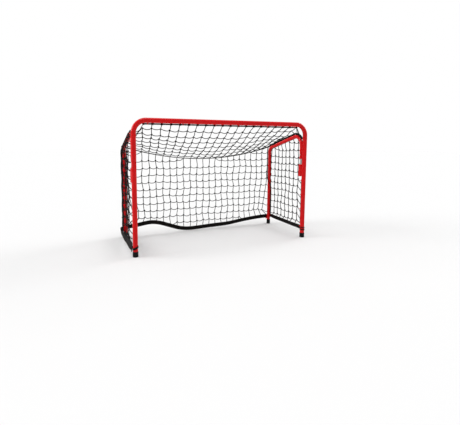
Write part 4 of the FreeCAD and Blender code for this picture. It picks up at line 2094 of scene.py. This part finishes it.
    def side_edge(self, side: Side) -> Callable[[float], Vector]:
        """Where the side net is sewn on.

        Args:
            side: Which side.

        Returns:
            A function from the place along the side to the point on the hem.
        """
        low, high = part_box(f"hem_side_{side.word}")
        place = self.side_place(side)
        return lambda y: place(min(1.0, (y - low.y) / (high.y - low.y)), self.seam_share)

    def side(self, side: Side) -> None:
        """The hem along the foot of a side net.

        Args:
            side: Which side.
        """
        node = f"hem_side_{side.word}"
        low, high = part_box(node)
        place = self.side_place(side)
        piece = self.sewn(f"side_hem_{side.word}", place, high.y - low.y, self.finishes.short_band)
        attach(piece, side.body)
        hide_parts(node)


@dataclass(frozen=True)
class Strap:
    """A hem loop's strap: its height, its tilt, how far above its node it is, and where its turns are."""

    tall: float
    tilt: float
    above: float
    turns: tuple[float, ...]


@dataclass
class PostLoop:
    """The ends of the side hems, passed round the front posts above their feet and sewn back."""

    hem: Hem
    left: Strap = Strap(0.010, 0.0050, -0.0030, (0.0,))
    right: Strap = Strap(0.0055, 0.0010, 0.0040, (-0.0055, 0.0055))
    gap: float = 0.0004
    first_turn: float = 0.31 * math.pi
    arc_turn: float = 1.62 * math.pi
    tail: float = 0.012
    tip_length: float = 0.018
    tip_tall: float = 0.009
    tip_off: float = 0.0012
    tip_curl: tuple[float, float] = (0.006, 1.5)
    tip_fall: tuple[float, float] = (0.011, 1.3)
    tip_below: float = 0.002
    tip_narrow: float = 0.45
    tip_run: tuple[float, float] = (0.006, -0.012)
    joint_in: float = 0.004
    joint_power: float = 1.5

    def build(self, side: Side) -> None:
        """The loop of one side, and on the left the strap's free tip.

        Args:
            side: Which side.
        """
        la, s, hem = self.hem.layout, side.value, self.hem
        node = f"hem_loop_{side.word}"
        strap = self.left if side is Side.LEFT else self.right
        hem_low, hem_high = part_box(f"hem_side_{side.word}")
        hem_x = abs(hem_low.x + hem_high.x) / 2
        ring_r = la.post_r + self.gap + hem.thickness / 2
        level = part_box(node)[1].z + strap.above
        joint_z = hem.side_top(side)(hem_low.y) - hem.slack(side).tall / 2
        arc = self.arc_turn * ring_r
        length = arc + 2 * self.tail

        def place(t: float, v: float, rise: float) -> Vector:
            """A point on the strap; both its tails run from the post to the hem.

            Args:
                t: Share of its length.
                v: Share of its height from the middle.
                rise: How far above the loop's level this turn is.

            Returns:
                The point.
            """
            at = t * length - self.tail
            turn = self.first_turn - min(arc, max(0.0, at)) / ring_r
            x = la.post.x + ring_r * math.cos(turn)
            y = la.post.y + ring_r * math.sin(turn)
            z = level + rise - strap.tilt * math.cos(turn) + v * strap.tall
            past = max(0.0, -at, at - arc) / self.tail
            x += (hem_x - x) * past
            y += (hem_low.y + self.joint_in - y) * past
            z += (joint_z - z + v * strap.tall) * past ** self.joint_power
            return Vector((s * x, y, z))

        strips = [hem.band(f"post_loop_{side.word}", lambda t, v, rise=rise: place(t, v, rise), length,
                           hem.finishes.loop_band) for rise in strap.turns]
        strip = Bench.join(strips, f"post_loop_{side.word}")
        side.body
        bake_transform(strip)
        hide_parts(node)
        LOG.info("made %s", strip.name)
        if side is Side.LEFT:
            self.tip(side, ring_r, level)

    def tip(self, side: Side, ring_r: float, level: float) -> None:
        """The free tip of a loop's strap, which hangs beside the post.

        Args:
            side: Which side.
            ring_r: The loop's radius.
            level: The loop's height.
        """
        la, s = self.hem.layout, side.value
        (curl, curl_power), (fall, fall_power), (start, run) = self.tip_curl, self.tip_fall, self.tip_run

        def place(t: float, v: float) -> Vector:
            """A point on the tip, which narrows and curls outwards.

            Args:
                t: Share of its length.
                v: Share of its height from the middle.

            Returns:
                The point.
            """
            x = la.post.x + ring_r + self.tip_off + curl * t ** curl_power
            z = level - self.tip_below - fall * t ** fall_power
            z += v * self.tip_tall * (1.0 - self.tip_narrow * t)
            return Vector((s * x, la.post.y + start + run * t, z))

        strip = self.hem.band(f"strap_tip_{side.word}", place, self.tip_length, self.hem.finishes.loop_band)
        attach(strip, Body.FRONT.value)
        LOG.info("made %s", strip.name)


# Studio


@dataclass
class Studio:
    """Camera, floor, lamps and world."""

    eye: Vector = field(default_factory=lambda: Vector((-0.6508, -1.5106, 0.4787)))
    heading: float = math.radians(20.34)
    pitch: float = math.radians(-5.615)
    lens: float = 24.77
    sensor: float = 36.0
    shift: tuple[float, float] = (0.0702, -0.0761)
    floor_half: float = 30.0
    white: tuple[float, ...] = (1.0, 1.0, 1.0, 1.0)
    floor_colour: Colour = (0.70, 0.70, 0.70)
    floor_glow: float = 0.08
    world_light: float = 0.45
    softness: float = math.radians(32)
    lamps: tuple[tuple[str, float, float, float], ...] = (
        ("left_softbox", -104.0, 26.0, 1.65), ("right_softbox", 100.0, 26.0, 1.45),
        ("top_softbox", 0.0, 86.0, 1.35))

    def camera(self) -> None:
        """The camera at the photograph's place."""
        data = bpy.data.cameras.new("camera")
        camera = Bench.add("camera", data)
        camera.location = self.eye
        camera.rotation_euler = (math.pi / 2 + self.pitch, 0.0, -self.heading)
        data.lens = self.lens
        data.sensor_width = self.sensor
        data.shift_x, data.shift_y = self.shift
        bpy.context.scene.camera = camera

    def ray_share(self, s: Nodes) -> bpy.types.NodeSocket:
        """One where a camera, glossy or transmission ray looks, and zero elsewhere.

        Args:
            s: The tree to add to.

        Returns:
            The share's socket.
        """
        path = s.add("ShaderNodeLightPath")
        either = s.math("MAXIMUM", path.outputs["Is Camera Ray"], path.outputs["Is Glossy Ray"])
        return s.math("MAXIMUM", either, path.outputs["Is Transmission Ray"])

    def floor(self) -> None:
        """A pale floor that takes the shadow and otherwise shows white."""
        Bench.clear()
        bpy.ops.mesh.primitive_plane_add(size=2 * self.floor_half)
        floor = bpy.context.object
        floor.name = "floor"
        s = Shader("pale_floor")
        glow = s.math("MULTIPLY", self.ray_share(s), self.floor_glow)
        Bench.coat(floor, s.give(base_color=(*self.floor_colour, 1.0), roughness=1.0, specular_ior_level=0.0,
                                 emission_color=self.white, emission_strength=glow))

    def world(self) -> None:
        """White where it is seen, and a softer light elsewhere."""
        world = bpy.data.worlds.new("studio")
        world.use_nodes = True
        bpy.context.scene.world = world
        s = Nodes(world.node_tree)
        background = s.tree.nodes["Background"]
        background.inputs["Color"].default_value = self.white
        s.link(s.ramp(self.ray_share(s), 0.0, 1.0, self.world_light, 1.0), background.inputs["Strength"])

    def lamp(self, name: str, bearing: float, height: float, strength: float) -> None:
        """A broad, distant lamp.

        Args:
            name: The lamp's name.
            bearing: Where it stands, in degrees to the right of straight ahead of the mouth.
            height: Its height in degrees.
            strength: Its strength in watts to the square metre.
        """
        data = bpy.data.lights.new(name, "SUN")
        data.angle = self.softness
        data.energy = strength
        lamp = Bench.add(name, data)
        lamp.rotation_euler = (math.pi / 2 - math.radians(height), 0.0, math.radians(bearing))

    def build(self) -> None:
        """Sets up everything but the camera."""
        bpy.context.scene.view_settings.view_transform = "Standard"
        self.floor()
        self.world()
        for name, bearing, height, strength in self.lamps:
            self.lamp(name, bearing, height, strength)


# The whole goal


@dataclass
class Goal:
    """Builds every piece of the goal in order."""

    nodes: dict[str, bpy.types.Object]
    layout: Layout = field(default_factory=Layout.read)
    finishes: Finishes = field(default_factory=Finishes)

    def sheet(self, node: str) -> BVHTree:
        """A node's mesh, ready to be measured.

        Args:
            node: The node.

        Returns:
            Its tree of faces.
        """
        mesh = self.nodes[node].data
        return BVHTree.FromPolygons([v.co for v in mesh.vertices], [p.vertices for p in mesh.polygons])

    def build(self) -> None:
        """Builds and dresses everything."""
        la = self.layout
        Tubework(self.finishes, self.nodes).dress()
        tube = SideTube(la)
        rigging = Rigging(la, self.finishes, tube)
        hem = Hem(la, self.finishes, self.nodes)
        loop = PostLoop(hem)
        back_line = hem.profile("hem_back", 0)
        back = BackNet(la, Netting(), lambda x: back_line(x) + hem.height / 2)
        top = TopNet(la, Netting(), self.sheet("net_top"), back, tube)
        rigging.crossbar([top.front_x(i) for i in range(top.left, top.right + 1)])
        for side in Side:
            back_half = rigging.finish(back.build(side), self.finishes.mesh_cord)
            rigging.spread(back_half, side)
            top_half = rigging.finish(top.build(side), self.finishes.mesh_cord)
            self.fold_top(top_half, side)
            if side is Side.RIGHT:
                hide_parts("net_back")
                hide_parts("net_top")
            net = SideNet(la, Netting(), tube, hem.side_top(side), hem.side_edge(side))
            panel = rigging.finish(net.build(side), self.finishes.mesh_cord)
            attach(panel, side.body)
            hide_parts(f"net_{side.word}")
            rigging.ridge(side)
            rigging.corner(side)
            leg_rope = rigging.finish(LegRope(la).build(side), self.finishes.strand)
            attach(leg_rope, side.body)
            rigging.bar(side)
            rigging.corner_ties(side)
            rigging.post(side, net)
            rigging.stub(side, net)
            hem.back(side, rigging)
            hem.side(side)
            loop.build(side)

    def fold_top(self, obj: bpy.types.Object, side: Side) -> None:
        """Moves the place of half of the top net into its mesh.

        Args:
            obj: The half.
            side: Which half; not used.
        """
        side.body
        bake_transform(obj)


def main() -> None:
    """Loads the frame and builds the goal."""
    logging.basicConfig(level=logging.INFO, format="%(name)s: %(message)s")
    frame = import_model()
    studio = Studio()
    studio.camera()
    Goal(frame["nodes"]).build()
    studio.build()


if __name__ == "__main__":
    main()
